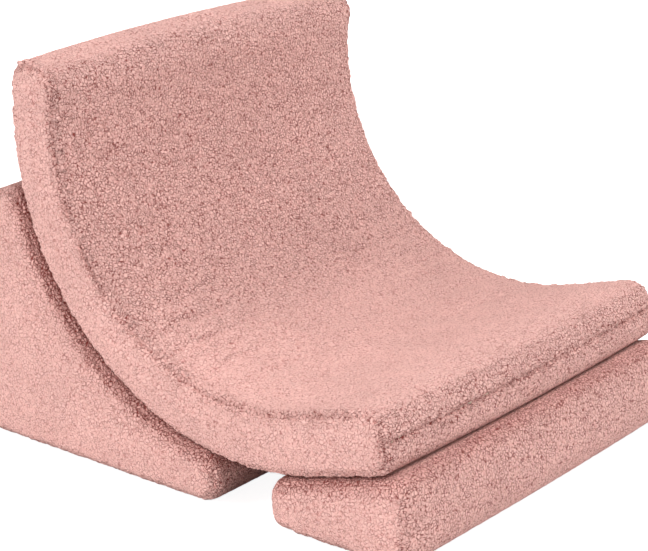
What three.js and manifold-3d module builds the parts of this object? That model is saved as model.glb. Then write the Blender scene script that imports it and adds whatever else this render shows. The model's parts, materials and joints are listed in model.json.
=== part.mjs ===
import * as THREE from 'three';
import { mergeVertices } from 'three/addons/utils/BufferGeometryUtils.js';
import Module from 'manifold-3d';

// A child's moon chair: a curved seat slab that rests on a rear wedge and a front block.
// Each of the three is a foam core in its own zipped teddy cover.
// Millimetres and degrees, +Z up, front towards -Y, origin on the floor under the middle.

// Sizes shared by the three cushions
const cushionWidth = 500;
const edgeRadius = 18;
const coverThickness = 4;
const seamDip = 2.4;
const coreGap = 0.5;
const coreEdgeSlack = 2.5;
const sideCrown = 3;
const fitGap = 0.3;
const seamGap = 0.4;

// Curved seat slab
const seatInnerRadius = 244;
const seatThickness = 68;
const seatHeightOverFloor = 55;
const seatFrontLength = 108;
const seatFrontSlope = 15.7;
const seatBackAngle = 102;
const seatEndRadius = 22.5;
const seatFaceCrown = 3;
const seatEndCrown = 8;
const contactSteps = 8;
const frontSteps = 7;
const tipSteps = 3;

// Rear wedge with its concave face
const wedgeFrontAngle = 6;
const wedgeTipAngle = 76.4;
const wedgeDepth = 341;
const wedgeTopSlope = 20;
const wedgeCornerRadius = 21;
const wedgeBackCrown = 4;
const wedgeZipHeight = 70;

// Front block with its sloping top
const blockReach = 16;
const blockDepth = 172;
const blockCornerRadius = 18.6;
const blockFrontCrown = 4;
const blockZipHeight = 28;

// Zip in the hidden face of each cover
const zipLength = 280;
const zipWidth = 18;
const tapeThickness = 0.8;
const toothPitch = 10;
const toothThickness = 2.2;
const chainHalfWidth = 3.6;
const rootHalfWidth = 2.3;
const toothReach = 1.7;
const toothRootShare = 0.15;
const toothHeadShare = 0.29;
const stopLength = 3;
const tapeTaper = 1;
const sliderLength = 20;
const sliderMouthWidth = 13;
const sliderTailWidth = 11;
const sliderShoulderStart = 1;
const sliderShoulderEnd = 5;
const sliderCornerCut = 2.4;
const sliderPlate = 1.2;
const bailLength = 10;
const bailWidth = 2;
const bailWall = 1;
const bailLeg = 2;
const bailRoom = 2;
const pullThickness = 1;
const pullLength = 26;
const pullEyeWall = 1.5;
const pullWidth = 8;
const pullEyeRoom = 0.4;
const pullEyeEndRoom = 1.2;
const pullRoundSegments = 6;

// Colours and shine
const teddyPink = 0xd99f97;
const tapePink = 0xc98880;
const foamCream = 0xefe6d2;
const sliderGrey = 0xb9b5b2;
const clothRoughness = 0.95;
const metalRoughness = 0.35;

// Places worked out from the sizes above
const degree = Math.PI / 180;
const seatOuterRadius = seatInnerRadius + seatThickness;
const slope = seatFrontSlope * degree;
const frontRun = seatFrontLength * Math.cos(slope) + seatOuterRadius * Math.sin(slope);
const wedgeRadius = seatOuterRadius + fitGap;
const wedgeFrontY = wedgeRadius * Math.sin(wedgeFrontAngle * degree);
const chairDepth = blockFrontCrown + blockReach + frontRun + wedgeFrontY + wedgeDepth + wedgeBackCrown;
const arcCentre = new THREE.Vector2(
	-chairDepth / 2 + blockFrontCrown + blockReach + frontRun,
	seatHeightOverFloor + seatOuterRadius,
);
const floorZ = -arcCentre.y;
const flatHalfWidth = cushionWidth / 2 - edgeRadius;
const zipHalfLength = zipLength / 2;
const zipHalfWidth = zipWidth / 2;
const coreDepth = coverThickness + coreGap;
const channelSideRoom = 2 * fitGap;
const tapeBack = -coverThickness - fitGap;

const wasm = await Module();
wasm.setup();

// Outlines are drawn round the arc's centre, in a plane of y and z.
// An angle is measured from straight down towards the back.
function ray(angle, length) {
	return new THREE.Vector2(Math.sin(angle) * length, -Math.cos(angle) * length);
}

function angleOf(vector) {
	return Math.atan2(vector.x, -vector.y);
}

// A closed outline, drawn with the cushion on its left, as points with outward normals
class Outline {
	constructor(start) {
		this.points = [];
		this.marks = {};
		this.last = start;
	}

	mark(name) {
		this.marks[name] = this.points.length - 1;
	}

	add(place, normal) {
		this.points.push({ place, normal, crown: 0 });
		this.last = place;
	}

	lineTo(end, steps = 1) {
		const start = this.last;
		const along = end.clone().sub(start).normalize();
		const normal = new THREE.Vector2(along.y, -along.x);
		for (let step = 1; step <= steps; step++) {
			this.add(start.clone().lerp(end, step / steps), normal);
		}
	}

	arc(centre, radius, from, to, steps) {
		const outward = Math.sign(to - from);
		for (let step = 1; step <= steps; step++) {
			const angle = from + (to - from) * step / steps;
			this.add(ray(angle, radius).add(centre), ray(angle, outward));
		}
	}

	// Runs to a corner between two straight edges and rounds it
	cornerTo(corner, next, radius, roundSteps, lineSteps = 1) {
		const arriving = corner.clone().sub(this.last).normalize();
		const leaving = next.clone().sub(corner).normalize();
		const turn = Math.acos(arriving.dot(leaving));
		const trim = radius * Math.tan(turn / 2);
		const start = corner.clone().addScaledVector(arriving, -trim);
		const inward = new THREE.Vector2(-arriving.y, arriving.x);
		const centre = start.clone().addScaledVector(inward, radius);
		const from = angleOf(inward.clone().negate());
		this.lineTo(start, lineSteps);
		this.arc(centre, radius, from, from + turn, roundSteps);
	}

	// Straight stretch that holds a zip: tape, tooth chain, tape
	zip(along) {
		const middle = this.last.clone().addScaledVector(along, zipHalfWidth);
		this.mark('zipStart');
		this.lineTo(middle.clone().addScaledVector(along, -chainHalfWidth));
		this.lineTo(middle);
		this.mark('zipMiddle');
		this.lineTo(middle.clone().addScaledVector(along, chainHalfWidth));
		this.lineTo(middle.clone().addScaledVector(along, zipHalfWidth));
		this.mark('zipEnd');
	}

	// Pads out the stretch between two marks, most in its middle
	swell(fromName, toName, height) {
		const from = this.marks[fromName];
		const count = this.span(fromName, toName);
		for (let step = 1; step < count; step++) {
			this.at(from + step).crown += height * Math.sin(Math.PI * step / count);
		}
	}

	at(index) {
		const count = this.points.length;
		return this.points[((index % count) + count) % count];
	}

	span(fromName, toName) {
		const count = this.marks[toName] - this.marks[fromName];
		return count > 0 ? count : count + this.points.length;
	}
}

// Collects the faces of one closed body
class Surface {
	constructor() {
		this.corners = [];
	}

	triangle(a, b, c) {
		const shortest = Math.min(a.distanceTo(b), b.distanceTo(c), c.distanceTo(a));
		if (shortest > 0.001) {
			this.corners.push(a, b, c);
		}
	}

	quad(a, b, c, d) {
		this.triangle(a, b, c);
		this.triangle(a, c, d);
	}

	// Faces point to the side from which rows run up while columns run to the left
	grid(rows, columns, point, flipped = false) {
		for (let row = 0; row < rows; row++) {
			for (let column = 0; column < columns; column++) {
				const a = point(row, column);
				const b = point(row, column + 1);
				const c = point(row + 1, column + 1);
				const d = point(row + 1, column);
				if (flipped) {
					this.quad(a, b, c, d);
				} else {
					this.quad(a, d, c, b);
				}
			}
		}
	}

	// A sheet with thickness; its ends are open where the sheet folds onto itself
	sheet(rows, columns, outer, inner, closeEnds) {
		this.grid(rows, columns, outer);
		this.grid(rows, columns, inner, true);
		for (let row = 0; row < rows; row++) {
			this.wall(inner, outer, [row, 0], [row + 1, 0]);
			this.wall(inner, outer, [row + 1, columns], [row, columns]);
		}
		for (let column = 0; closeEnds && column < columns; column++) {
			this.wall(inner, outer, [0, column + 1], [0, column]);
			this.wall(inner, outer, [rows, column], [rows, column + 1]);
		}
	}

	wall(inner, outer, from, to) {
		this.quad(inner(...from), inner(...to), outer(...to), outer(...from));
	}

	geometry() {
		const geometry = new THREE.BufferGeometry().setFromPoints(this.corners);
		return mergeVertices(geometry, 0.0005);
	}
}

function toSolid(geometry) {
	const bare = geometry.clone();
	bare.deleteAttribute('normal');
	bare.deleteAttribute('uv');
	const welded = mergeVertices(bare, 0.0001);
	return new wasm.Manifold(new wasm.Mesh({
		numProp: 3,
		vertProperties: new Float32Array(welded.attributes.position.array),
		triVerts: new Uint32Array(welded.index.array),
	}));
}

function fromSolid(solid) {
	const mesh = solid.getMesh();
	const geometry = new THREE.BufferGeometry();
	geometry.setAttribute('position', new THREE.BufferAttribute(mesh.vertProperties, 3));
	geometry.setIndex(new THREE.BufferAttribute(mesh.triVerts, 1));
	return geometry;
}

function extrude(shape, depth, curveSegments = 1) {
	return new THREE.ExtrudeGeometry(shape, { depth, curveSegments, bevelEnabled: false });
}

function makeMaterial(color, roughness, metalness) {
	return new THREE.MeshStandardMaterial({ color, roughness, metalness });
}

function addMesh(parent, name, geometry, material) {
	const mesh = new THREE.Mesh(geometry, material.clone());
	mesh.name = name;
	parent.add(mesh);
	return mesh;
}

const teddy = makeMaterial(teddyPink, clothRoughness, 0);
const foam = makeMaterial(foamCream, clothRoughness, 0);
const tape = makeMaterial(tapePink, clothRoughness, 0);
const metal = makeMaterial(sliderGrey, metalRoughness, 1);

// Runs from 0 at both ends to 1 half way
function bulge(share) {
	return 4 * share * (1 - share);
}

// Columns across a cushion: flat ones hold x, edge ones hold the angle round the side edge
const seamAngle = 45 * degree;
const halfSeam = seamGap / 2 / edgeRadius;

function edgeColumns(side, angles) {
	return angles.map((angle) => ({ side, angle }));
}

function flatColumns(shares) {
	return shares.map((share) => ({ x: share * flatHalfWidth }));
}

function columnsOfPanel(shares) {
	return [
		...edgeColumns(-1, [seamAngle - halfSeam, seamAngle / 2]),
		...flatColumns(shares),
		...edgeColumns(1, [seamAngle / 2, seamAngle - halfSeam]),
	];
}

const crownedColumns = columnsOfPanel([-1, -0.5, 0, 0.5, 1]);
const plainColumns = columnsOfPanel([-1, 1]);
const coreColumns = [
	{ side: -1, angle: 90 * degree },
	{ side: -1, angle: seamAngle, slack: coreEdgeSlack },
	...flatColumns([-1, -0.5, 0, 0.5, 1]),
	{ side: 1, angle: seamAngle, slack: coreEdgeSlack },
	{ side: 1, angle: 90 * degree },
];
const tapeColumns = [
	...edgeColumns(-1, [seamAngle - halfSeam, seamAngle / 2]),
	{ x: -flatHalfWidth },
	{ x: -zipHalfLength - stopLength - tapeTaper },
	{ x: -zipHalfLength - fitGap },
	{ x: zipHalfLength + fitGap },
	{ x: zipHalfLength + stopLength + tapeTaper },
	{ x: flatHalfWidth },
	...edgeColumns(1, [seamAngle / 2, seamAngle - halfSeam]),
];

// One upholstered cushion: foam core, cover panels sewn at the edges, and a zip
class Cushion {
	constructor(name, outline, zipPlace, zipTurn) {
		this.name = name;
		this.outline = outline;
		this.half = outline.points.length / 2;
		this.zip = new THREE.Group();
		this.zip.position.set(0, zipPlace.x, zipPlace.y);
		this.zip.rotation.x = zipTurn;
		this.zip.updateMatrix();
		this.group = new THREE.Group();
		this.group.position.set(0, arcCentre.x, arcCentre.y);
		this.group.add(this.zip);
	}

	// Point of the wrapped surface, at a depth under the pile's outer face
	wrapPoint(index, column, depth) {
		const { place, normal, crown } = this.outline.at(index);
		const radius = edgeRadius - depth - (column.slack ?? 0);
		let x = column.x;
		let inset = depth;
		if (x === undefined) {
			x = column.side * (flatHalfWidth + radius * Math.sin(column.angle));
			inset = edgeRadius - radius * Math.cos(column.angle);
		} else {
			inset -= crown * (1 - (x / flatHalfWidth) ** 2);
		}
		const spot = place.clone().addScaledVector(normal, -inset);
		return new THREE.Vector3(x, spot.x, spot.y);
	}

	// Point of a side panel; rows run from the front seam to the back one,
	// columns run from the upper edge over the side to the lower edge
	sidePoint(row, column, side, depth) {
		const start = this.outline.marks.frontSeam;
		if (column.across === undefined) {
			const index = column.upper ? start - row : start + row;
			return this.wrapPoint(index, { side, angle: column.angle }, depth);
		}
		const edge = { side, angle: 90 * degree };
		const upper = this.wrapPoint(start - row, edge, depth);
		const lower = this.wrapPoint(start + row, edge, depth);
		const point = upper.lerp(lower, column.across);
		point.x += side * sideCrown * bulge(column.across) * bulge(row / this.half);
		return point;
	}

	panel(name, fromName, toName, columns = crownedColumns) {
		const first = this.outline.marks[fromName];
		const rows = this.outline.span(fromName, toName);
		const last = columns.length - 1;
		const layer = (depth, dip) => (row, column) => {
			const atSeam = row === 0 || row === rows || column === 0 || column === last;
			const sunk = atSeam ? depth + dip : depth;
			const point = this.wrapPoint(first + row, columns[column], sunk);
			if (row > 0 && row < rows) {
				return point;
			}
			const inner = this.wrapPoint(first + (row === 0 ? 1 : rows - 1), columns[column], sunk);
			return point.addScaledVector(inner.sub(point).normalize(), seamGap / 2);
		};
		const surface = new Surface();
		surface.sheet(rows, last, layer(0, seamDip), layer(coverThickness, 0), true);
		addMesh(this.group, `${this.name}_${name}`, surface.geometry(), teddy);
	}

	sidePanel(name, side) {
		const startAngle = seamAngle + halfSeam;
		const angles = [startAngle, (startAngle + 90 * degree) / 2, 90 * degree];
		const columns = [
			...angles.map((angle) => ({ upper: true, angle })),
			{ across: 1 / 3 },
			{ across: 2 / 3 },
			...angles.reverse().map((angle) => ({ upper: false, angle })),
		];
		if (side > 0) {
			columns.reverse();
		}
		const last = columns.length - 1;
		const layer = (depth, dip) => (row, column) => {
			const sunk = column === 0 || column === last ? depth + dip : depth;
			return this.sidePoint(row, columns[column], side, sunk);
		};
		const surface = new Surface();
		surface.sheet(this.half, last, layer(0, seamDip), layer(coverThickness, 0), false);
		addMesh(this.group, `${this.name}_${name}`, surface.geometry(), teddy);
	}

	// The foam core fills the cover and has a channel behind the zip for the slider
	core() {
		const surface = new Surface();
		const rows = this.outline.points.length;
		const wrap = (row, column) => this.wrapPoint(row, coreColumns[column], coreDepth);
		surface.grid(rows, coreColumns.length - 1, wrap);
		for (const side of [-1, 1]) {
			const columns = [
				{ upper: true, angle: 90 * degree },
				{ across: 1 / 3 },
				{ across: 2 / 3 },
				{ upper: false, angle: 90 * degree },
			];
			if (side > 0) {
				columns.reverse();
			}
			const cap = (row, column) => this.sidePoint(row, columns[column], side, coreDepth);
			surface.grid(this.half, columns.length - 1, cap);
		}
		const channel = new THREE.BoxGeometry(
			zipLength + 2 * stopLength,
			sliderMouthWidth + 2 * channelSideRoom,
			2 * (sliderPlate + fitGap),
		);
		channel.translate(0, 0, tapeBack);
		channel.applyMatrix4(this.zip.matrix);
		const body = toSolid(surface.geometry()).subtract(toSolid(channel));
		addMesh(this.group, `${this.name}_foam_core`, fromSolid(body), foam);
	}

	// One half of the zip: a woven tape with its row of moulded teeth and its end stop.
	// Side 1 is the half that the outline meets first.
	zipHalf(name, side) {
		const { zipStart, zipMiddle, zipEnd } = this.outline.marks;
		const sewn = side > 0 ? zipStart : zipEnd;
		const open = zipMiddle - side;
		const layer = (depth) => (row, column) => {
			const across = tapeColumns[column];
			const farFromTeeth = across.x === undefined || Math.abs(across.x) > zipHalfLength + stopLength;
			const chainPoint = this.wrapPoint(open, across, depth);
			const inner = farFromTeeth ? this.wrapPoint(zipMiddle, across, depth) : chainPoint;
			const outer = this.wrapPoint(sewn, across, depth);
			const along = inner.clone().sub(outer).normalize();
			const start = outer.addScaledVector(along, seamGap / 2);
			const end = inner.addScaledVector(along, -seamGap / 2);
			return (row === 0) === (side > 0) ? start : end;
		};
		const strip = new Surface();
		const tapeDepth = coverThickness - tapeThickness;
		strip.sheet(1, tapeColumns.length - 1, layer(tapeDepth), layer(coverThickness), true);
		const teeth = extrude(toothRow(side), toothThickness);
		teeth.translate(0, 0, -coverThickness + fitGap / 2);
		teeth.applyMatrix4(this.zip.matrix);
		const body = toSolid(strip.geometry()).add(toSolid(teeth));
		addMesh(this.group, `${this.name}_zip_${name}`, fromSolid(body), tape);
	}

	bottomStop() {
		const floor = -coverThickness + tapeThickness + fitGap;
		const height = toothThickness;
		const stop = new THREE.BoxGeometry(stopLength, 2 * chainHalfWidth, height);
		stop.translate(-zipHalfLength - fitGap - stopLength / 2, 0, floor + height / 2);
		addMesh(this.zip, `${this.name}_zip_bottom_stop`, stop, metal);
	}

	// Slider at the closed end: a channel over the teeth with a bail, and a plate behind the tape
	slider(pullAngle) {
		const place = zipHalfLength - fitGap - sliderLength / 2;
		const tapeFace = -coverThickness + tapeThickness;
		const toothFace = -coverThickness + fitGap / 2 + toothThickness;
		const plateFloor = toothFace + fitGap;
		const plateTop = plateFloor + sliderPlate;
		const flangeFloor = tapeFace + fitGap;

		const body = extrude(sliderPlan(), plateTop - flangeFloor);
		body.translate(0, 0, flangeFloor);
		const channelHeight = 2 * (plateFloor - flangeFloor);
		const channel = new THREE.BoxGeometry(2 * sliderLength, 2 * (chainHalfWidth + fitGap), channelHeight);
		channel.translate(0, 0, flangeFloor);
		const bail = extrude(bailArch(plateTop), bailWidth);
		bail.translate(0, 0, -bailWidth / 2);
		bail.rotateX(90 * degree);
		const front = toSolid(body).subtract(toSolid(channel)).add(toSolid(bail));
		const frontMesh = addMesh(this.zip, `${this.name}_zip_slider`, fromSolid(front), metal);
		frontMesh.position.x = place;

		const back = extrude(sliderPlan(), sliderPlate);
		const backMesh = addMesh(this.zip, `${this.name}_zip_slider_back`, back, metal);
		backMesh.position.set(place, 0, tapeBack - sliderPlate);

		const pull = extrude(pullPlan(), pullThickness, pullRoundSegments);
		pull.translate(0, 0, -pullThickness / 2);
		const pullMesh = addMesh(this.zip, `${this.name}_zip_pull`, pull, metal);
		pullMesh.position.set(place, 0, plateTop + bailRoom / 2);
		pullMesh.rotation.y = pullAngle * degree;
	}
}

function shapeOf(points) {
	return new THREE.Shape(points.map(([x, y]) => new THREE.Vector2(x, y)));
}

// Row of dovetail teeth that reach over the middle, between those of the other row
function toothRow(side) {
	const teeth = Math.floor(zipLength / toothPitch) - (side > 0 ? 0 : 1);
	const rootHalf = toothRootShare * toothPitch;
	const headHalf = toothHeadShare * toothPitch;
	const start = -zipHalfLength + fitGap;
	const stopEnd = zipHalfLength + stopLength;
	const points = [[start, chainHalfWidth + fitGap], [start, rootHalfWidth]];
	for (let tooth = 0; tooth < teeth; tooth++) {
		const x = (tooth - (teeth - 1) / 2) * toothPitch;
		points.push([x - rootHalf, rootHalfWidth]);
		points.push([x - headHalf, -toothReach]);
		points.push([x + headHalf, -toothReach]);
		points.push([x + rootHalf, rootHalfWidth]);
	}
	points.push([zipHalfLength, rootHalfWidth]);
	points.push([zipHalfLength, fitGap]);
	points.push([stopEnd, fitGap]);
	points.push([stopEnd, chainHalfWidth + fitGap]);
	return shapeOf(points.map(([x, y]) => [x, side * y]));
}

// Plan of the slider: wide at the mouth, narrow at the tail, its corners cut
function sliderPlan() {
	const half = sliderLength / 2;
	const mouth = sliderMouthWidth / 2;
	const tail = sliderTailWidth / 2;
	const edge = [
		[-half, tail - sliderCornerCut],
		[-half + sliderCornerCut, tail],
		[sliderShoulderStart, tail],
		[sliderShoulderEnd, mouth],
		[half - sliderCornerCut, mouth],
		[half, mouth - sliderCornerCut],
	];
	const otherEdge = edge.map(([x, y]) => [x, -y]);
	return shapeOf([...edge, ...otherEdge.reverse()]);
}

// Side view of the bail that holds the pull
function bailArch(base) {
	const half = bailLength / 2;
	const ceiling = base + bailRoom;
	const top = ceiling + bailWall;
	const root = base - sliderPlate / 2;
	return shapeOf([
		[-half, root],
		[-half + bailLeg, root],
		[-half + bailLeg, ceiling],
		[half - bailLeg, ceiling],
		[half - bailLeg, root],
		[half, root],
		[half, ceiling],
		[half - bailLeg / 2, top],
		[-half + bailLeg / 2, top],
		[-half, ceiling],
	]);
}

// Plan of the pull: an eye round the bail's leg and a tab with a round end
function pullPlan() {
	const bar = pullThickness / 2;
	const eyeHalf = bailWidth / 2 + pullEyeRoom;
	const neckHalf = eyeHalf + pullEyeWall;
	const eyeEnd = bailLength / 2 + pullEyeEndRoom;
	const neckEnd = eyeEnd + pullEyeWall;
	const tabStart = neckEnd + pullEyeWall;
	const tabHalf = pullWidth / 2;
	const plan = new THREE.Shape();
	plan.moveTo(bar, neckHalf);
	plan.lineTo(-neckEnd, neckHalf);
	plan.lineTo(-tabStart, tabHalf);
	plan.absarc(-pullLength + tabHalf, 0, tabHalf, 90 * degree, 270 * degree, false);
	plan.lineTo(-tabStart, -tabHalf);
	plan.lineTo(-neckEnd, -neckHalf);
	plan.lineTo(bar, -neckHalf);
	plan.closePath();
	plan.holes.push(shapeOf([[-bar, eyeHalf], [-bar, -eyeHalf], [-eyeEnd, -eyeHalf], [-eyeEnd, eyeHalf]]));
	return plan;
}

// Rounded corner of the wedge where its concave face meets a straight edge
function tipRound() {
	const tip = ray(wedgeTipAngle * degree, wedgeRadius);
	const down = wedgeTopSlope * degree;
	const along = new THREE.Vector2(Math.cos(down), -Math.sin(down));
	const inward = new THREE.Vector2(-Math.sin(down), -Math.cos(down));
	const base = tip.clone().addScaledVector(inward, wedgeCornerRadius);
	const middle = base.dot(along);
	const reach = (wedgeRadius + wedgeCornerRadius) ** 2 - base.lengthSq();
	const shift = -middle + Math.sqrt(middle ** 2 + reach);
	const centre = base.addScaledVector(along, shift);
	return { tip, along, centre, from: Math.PI - down, angle: angleOf(centre) };
}

function frontRound() {
	const y = wedgeFrontY + wedgeCornerRadius;
	const z = -Math.sqrt((wedgeRadius + wedgeCornerRadius) ** 2 - y ** 2);
	const centre = new THREE.Vector2(y, z);
	return { centre, angle: angleOf(centre) };
}

const wedgeTip = tipRound();
const wedgeFront = frontRound();

// Curved slab: straight front part, long arc, both ends rounded
function makeSeat() {
	const back = seatBackAngle * degree;
	const forward = new THREE.Vector2(-Math.cos(slope), Math.sin(slope));
	const outerBend = ray(-slope, seatOuterRadius);
	const innerBend = ray(-slope, seatInnerRadius);
	const outerFront = outerBend.clone().addScaledVector(forward, seatFrontLength);
	const innerFront = innerBend.clone().addScaledVector(forward, seatFrontLength);
	const centre = new THREE.Vector2(0, 0);
	const outerTurn = Math.asin(seatEndRadius / (seatOuterRadius - seatEndRadius));
	const innerTurn = Math.asin(seatEndRadius / (seatInnerRadius + seatEndRadius));
	const outerEndAngle = back - outerTurn;
	const innerEndAngle = back - innerTurn;
	const outerEndCentre = ray(outerEndAngle, seatOuterRadius - seatEndRadius);
	const innerEndCentre = ray(innerEndAngle, seatInnerRadius + seatEndRadius);
	const innerEndStart = innerEndCentre.clone().add(ray(back + Math.PI / 2, seatEndRadius));
	const zipAngle = Math.asin(zipHalfWidth / seatOuterRadius);
	const backMiddle = ray(back, (seatInnerRadius + seatOuterRadius) / 2);
	const frontMiddle = outerFront.clone().lerp(innerFront, 0.5);

	const outline = new Outline(frontMiddle);
	outline.cornerTo(outerFront, outerBend, seatEndRadius, 3);
	outline.mark('frontLow');
	outline.lineTo(outerBend, 2);
	outline.arc(centre, seatOuterRadius, -slope, -zipAngle, 2);
	outline.zip(new THREE.Vector2(1, 0));
	outline.arc(centre, seatOuterRadius, zipAngle, wedgeFront.angle, 1);
	outline.arc(centre, seatOuterRadius, wedgeFront.angle, wedgeTip.angle, contactSteps);
	outline.arc(centre, seatOuterRadius, wedgeTip.angle, outerEndAngle, tipSteps);
	outline.mark('backLow');
	outline.arc(outerEndCentre, seatEndRadius, outerEndAngle, back + Math.PI / 2, 3);
	outline.lineTo(backMiddle);
	outline.mark('backSeam');
	outline.lineTo(innerEndStart);
	outline.arc(innerEndCentre, seatEndRadius, back + Math.PI / 2, innerEndAngle + Math.PI, 3);
	outline.mark('backHigh');
	outline.arc(centre, seatInnerRadius, innerEndAngle, wedgeTip.angle, tipSteps);
	outline.arc(centre, seatInnerRadius, wedgeTip.angle, wedgeFront.angle, contactSteps);
	outline.arc(centre, seatInnerRadius, wedgeFront.angle, -slope, frontSteps);
	outline.lineTo(innerFront.clone().addScaledVector(forward, -seatEndRadius), 2);
	outline.mark('frontHigh');
	const lipCentre = innerFront.clone().addScaledVector(forward, -seatEndRadius);
	lipCentre.add(ray(-slope, seatEndRadius));
	outline.arc(lipCentre, seatEndRadius, Math.PI - slope, 1.5 * Math.PI - slope, 3);
	outline.lineTo(frontMiddle);
	outline.mark('frontSeam');
	outline.swell('frontHigh', 'frontLow', seatEndCrown);
	outline.swell('backLow', 'backHigh', seatEndCrown);
	outline.swell('backHigh', 'frontHigh', seatFaceCrown);

	const zipPlace = ray(0, seatOuterRadius * Math.cos(zipAngle));
	const seat = new Cushion('seat', outline, zipPlace, Math.PI);
	seat.core();
	seat.panel('face_panel', 'backSeam', 'frontSeam');
	seat.panel('under_panel_front', 'frontSeam', 'zipStart');
	seat.panel('under_panel_rear', 'zipEnd', 'backSeam');
	seat.sidePanel('side_panel_left', -1);
	seat.sidePanel('side_panel_right', 1);
	seat.zipHalf('front_tape', 1);
	seat.zipHalf('rear_tape', -1);
	seat.bottomStop();
	seat.slider(90);
	return seat.group;
}

// Wedge: blunt front, concave face, sloping top, upright back
function makeWedge() {
	const backY = wedgeFrontY + wedgeDepth;
	const { tip, along, centre: tipCentre, from, angle: tipAngle } = wedgeTip;
	const topBack = tip.clone().addScaledVector(along, (backY - tip.x) / along.x);
	const lowFront = new THREE.Vector2(wedgeFrontY, floorZ);
	const lowBack = new THREE.Vector2(backY, floorZ);
	const topOutward = ray(from, wedgeCornerRadius);
	const centre = new THREE.Vector2(0, 0);
	const zipStart = new THREE.Vector2(backY, floorZ + wedgeZipHeight - zipHalfWidth);

	const outline = new Outline(new THREE.Vector2(wedgeFrontY, wedgeFront.centre.y));
	outline.cornerTo(lowFront, lowBack, wedgeCornerRadius, 3);
	outline.mark('lowFront');
	outline.cornerTo(lowBack, topBack, wedgeCornerRadius, 2, 4);
	outline.mark('lowBack');
	outline.lineTo(zipStart);
	outline.zip(new THREE.Vector2(0, 1));
	outline.cornerTo(topBack, tip, wedgeCornerRadius, 3, 5);
	outline.mark('topBack');
	outline.lineTo(tipCentre.clone().add(topOutward), 1);
	outline.mark('tipBack');
	outline.arc(tipCentre, wedgeCornerRadius, from, Math.PI + tipAngle, 3);
	outline.arc(centre, wedgeRadius, tipAngle, wedgeFront.angle, contactSteps);
	outline.arc(wedgeFront.centre, wedgeCornerRadius, wedgeFront.angle + Math.PI, 1.5 * Math.PI, 3);
	outline.marks.frontSeam = outline.marks.lowFront;
	outline.swell('zipEnd', 'topBack', wedgeBackCrown);

	const zipPlace = new THREE.Vector2(backY, floorZ + wedgeZipHeight);
	const wedge = new Cushion('wedge', outline, zipPlace, -Math.PI / 2);
	wedge.core();
	wedge.panel('base_panel', 'lowFront', 'lowBack', plainColumns);
	wedge.panel('back_panel_lower', 'lowBack', 'zipStart', plainColumns);
	wedge.panel('back_panel_upper', 'zipEnd', 'tipBack');
	wedge.panel('face_panel', 'tipBack', 'lowFront', plainColumns);
	wedge.sidePanel('side_panel_left', -1);
	wedge.sidePanel('side_panel_right', 1);
	wedge.zipHalf('lower_tape', 1);
	wedge.zipHalf('upper_tape', -1);
	wedge.bottomStop();
	wedge.slider(0);
	return wedge.group;
}

// Block: its top lies under the straight front of the seat
function makeBlock() {
	const forward = new THREE.Vector2(-Math.cos(slope), Math.sin(slope));
	const seatCorner = ray(-slope, seatOuterRadius + fitGap).addScaledVector(forward, seatFrontLength);
	const frontY = -frontRun - blockReach;
	const rearY = frontY + blockDepth;
	const topAt = (y) => seatCorner.y + (seatCorner.x - y) * Math.tan(slope);
	const lowFront = new THREE.Vector2(frontY, floorZ);
	const lowRear = new THREE.Vector2(rearY, floorZ);
	const topRear = new THREE.Vector2(rearY, topAt(rearY));
	const topFront = new THREE.Vector2(frontY, topAt(frontY));
	const middle = lowFront.clone().lerp(topFront, 0.5);
	const zipStart = new THREE.Vector2(rearY, floorZ + blockZipHeight - zipHalfWidth);

	const outline = new Outline(middle);
	outline.cornerTo(lowFront, lowRear, blockCornerRadius, 3, 1);
	outline.mark('lowFront');
	outline.cornerTo(lowRear, topRear, blockCornerRadius, 2, 1);
	outline.lineTo(zipStart);
	outline.zip(new THREE.Vector2(0, 1));
	outline.cornerTo(topRear, topFront, blockCornerRadius, 3, 1);
	outline.cornerTo(topFront, middle, blockCornerRadius, 3, 4);
	outline.mark('topFront');
	outline.lineTo(middle);
	outline.mark('frontSeam');
	outline.swell('topFront', 'lowFront', blockFrontCrown);

	const zipPlace = new THREE.Vector2(rearY, floorZ + blockZipHeight);
	const block = new Cushion('block', outline, zipPlace, -Math.PI / 2);
	block.core();
	block.panel('base_panel', 'lowFront', 'zipStart', plainColumns);
	block.panel('top_panel', 'zipEnd', 'lowFront');
	block.sidePanel('side_panel_left', -1);
	block.sidePanel('side_panel_right', 1);
	block.zipHalf('lower_tape', 1);
	block.zipHalf('upper_tape', -1);
	block.bottomStop();
	block.slider(0);
	return block.group;
}

const chair = new THREE.Group();
chair.add(makeSeat(), makeWedge(), makeBlock());

export default chair;
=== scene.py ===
"""Looks of a child's moon chair: three zipped teddy fleece cushions on a plain studio floor.

Lengths are millimetres until a mesh is made, which is in metres like the frame.
+X runs along the chair's width, -Y towards its front and +Z up.
"""

import json
import logging
import math
from dataclasses import dataclass, field
from enum import Enum
from typing import Any, Sequence

import bpy
import numpy as np
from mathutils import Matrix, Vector, noise
from mathutils.kdtree import KDTree

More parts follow.
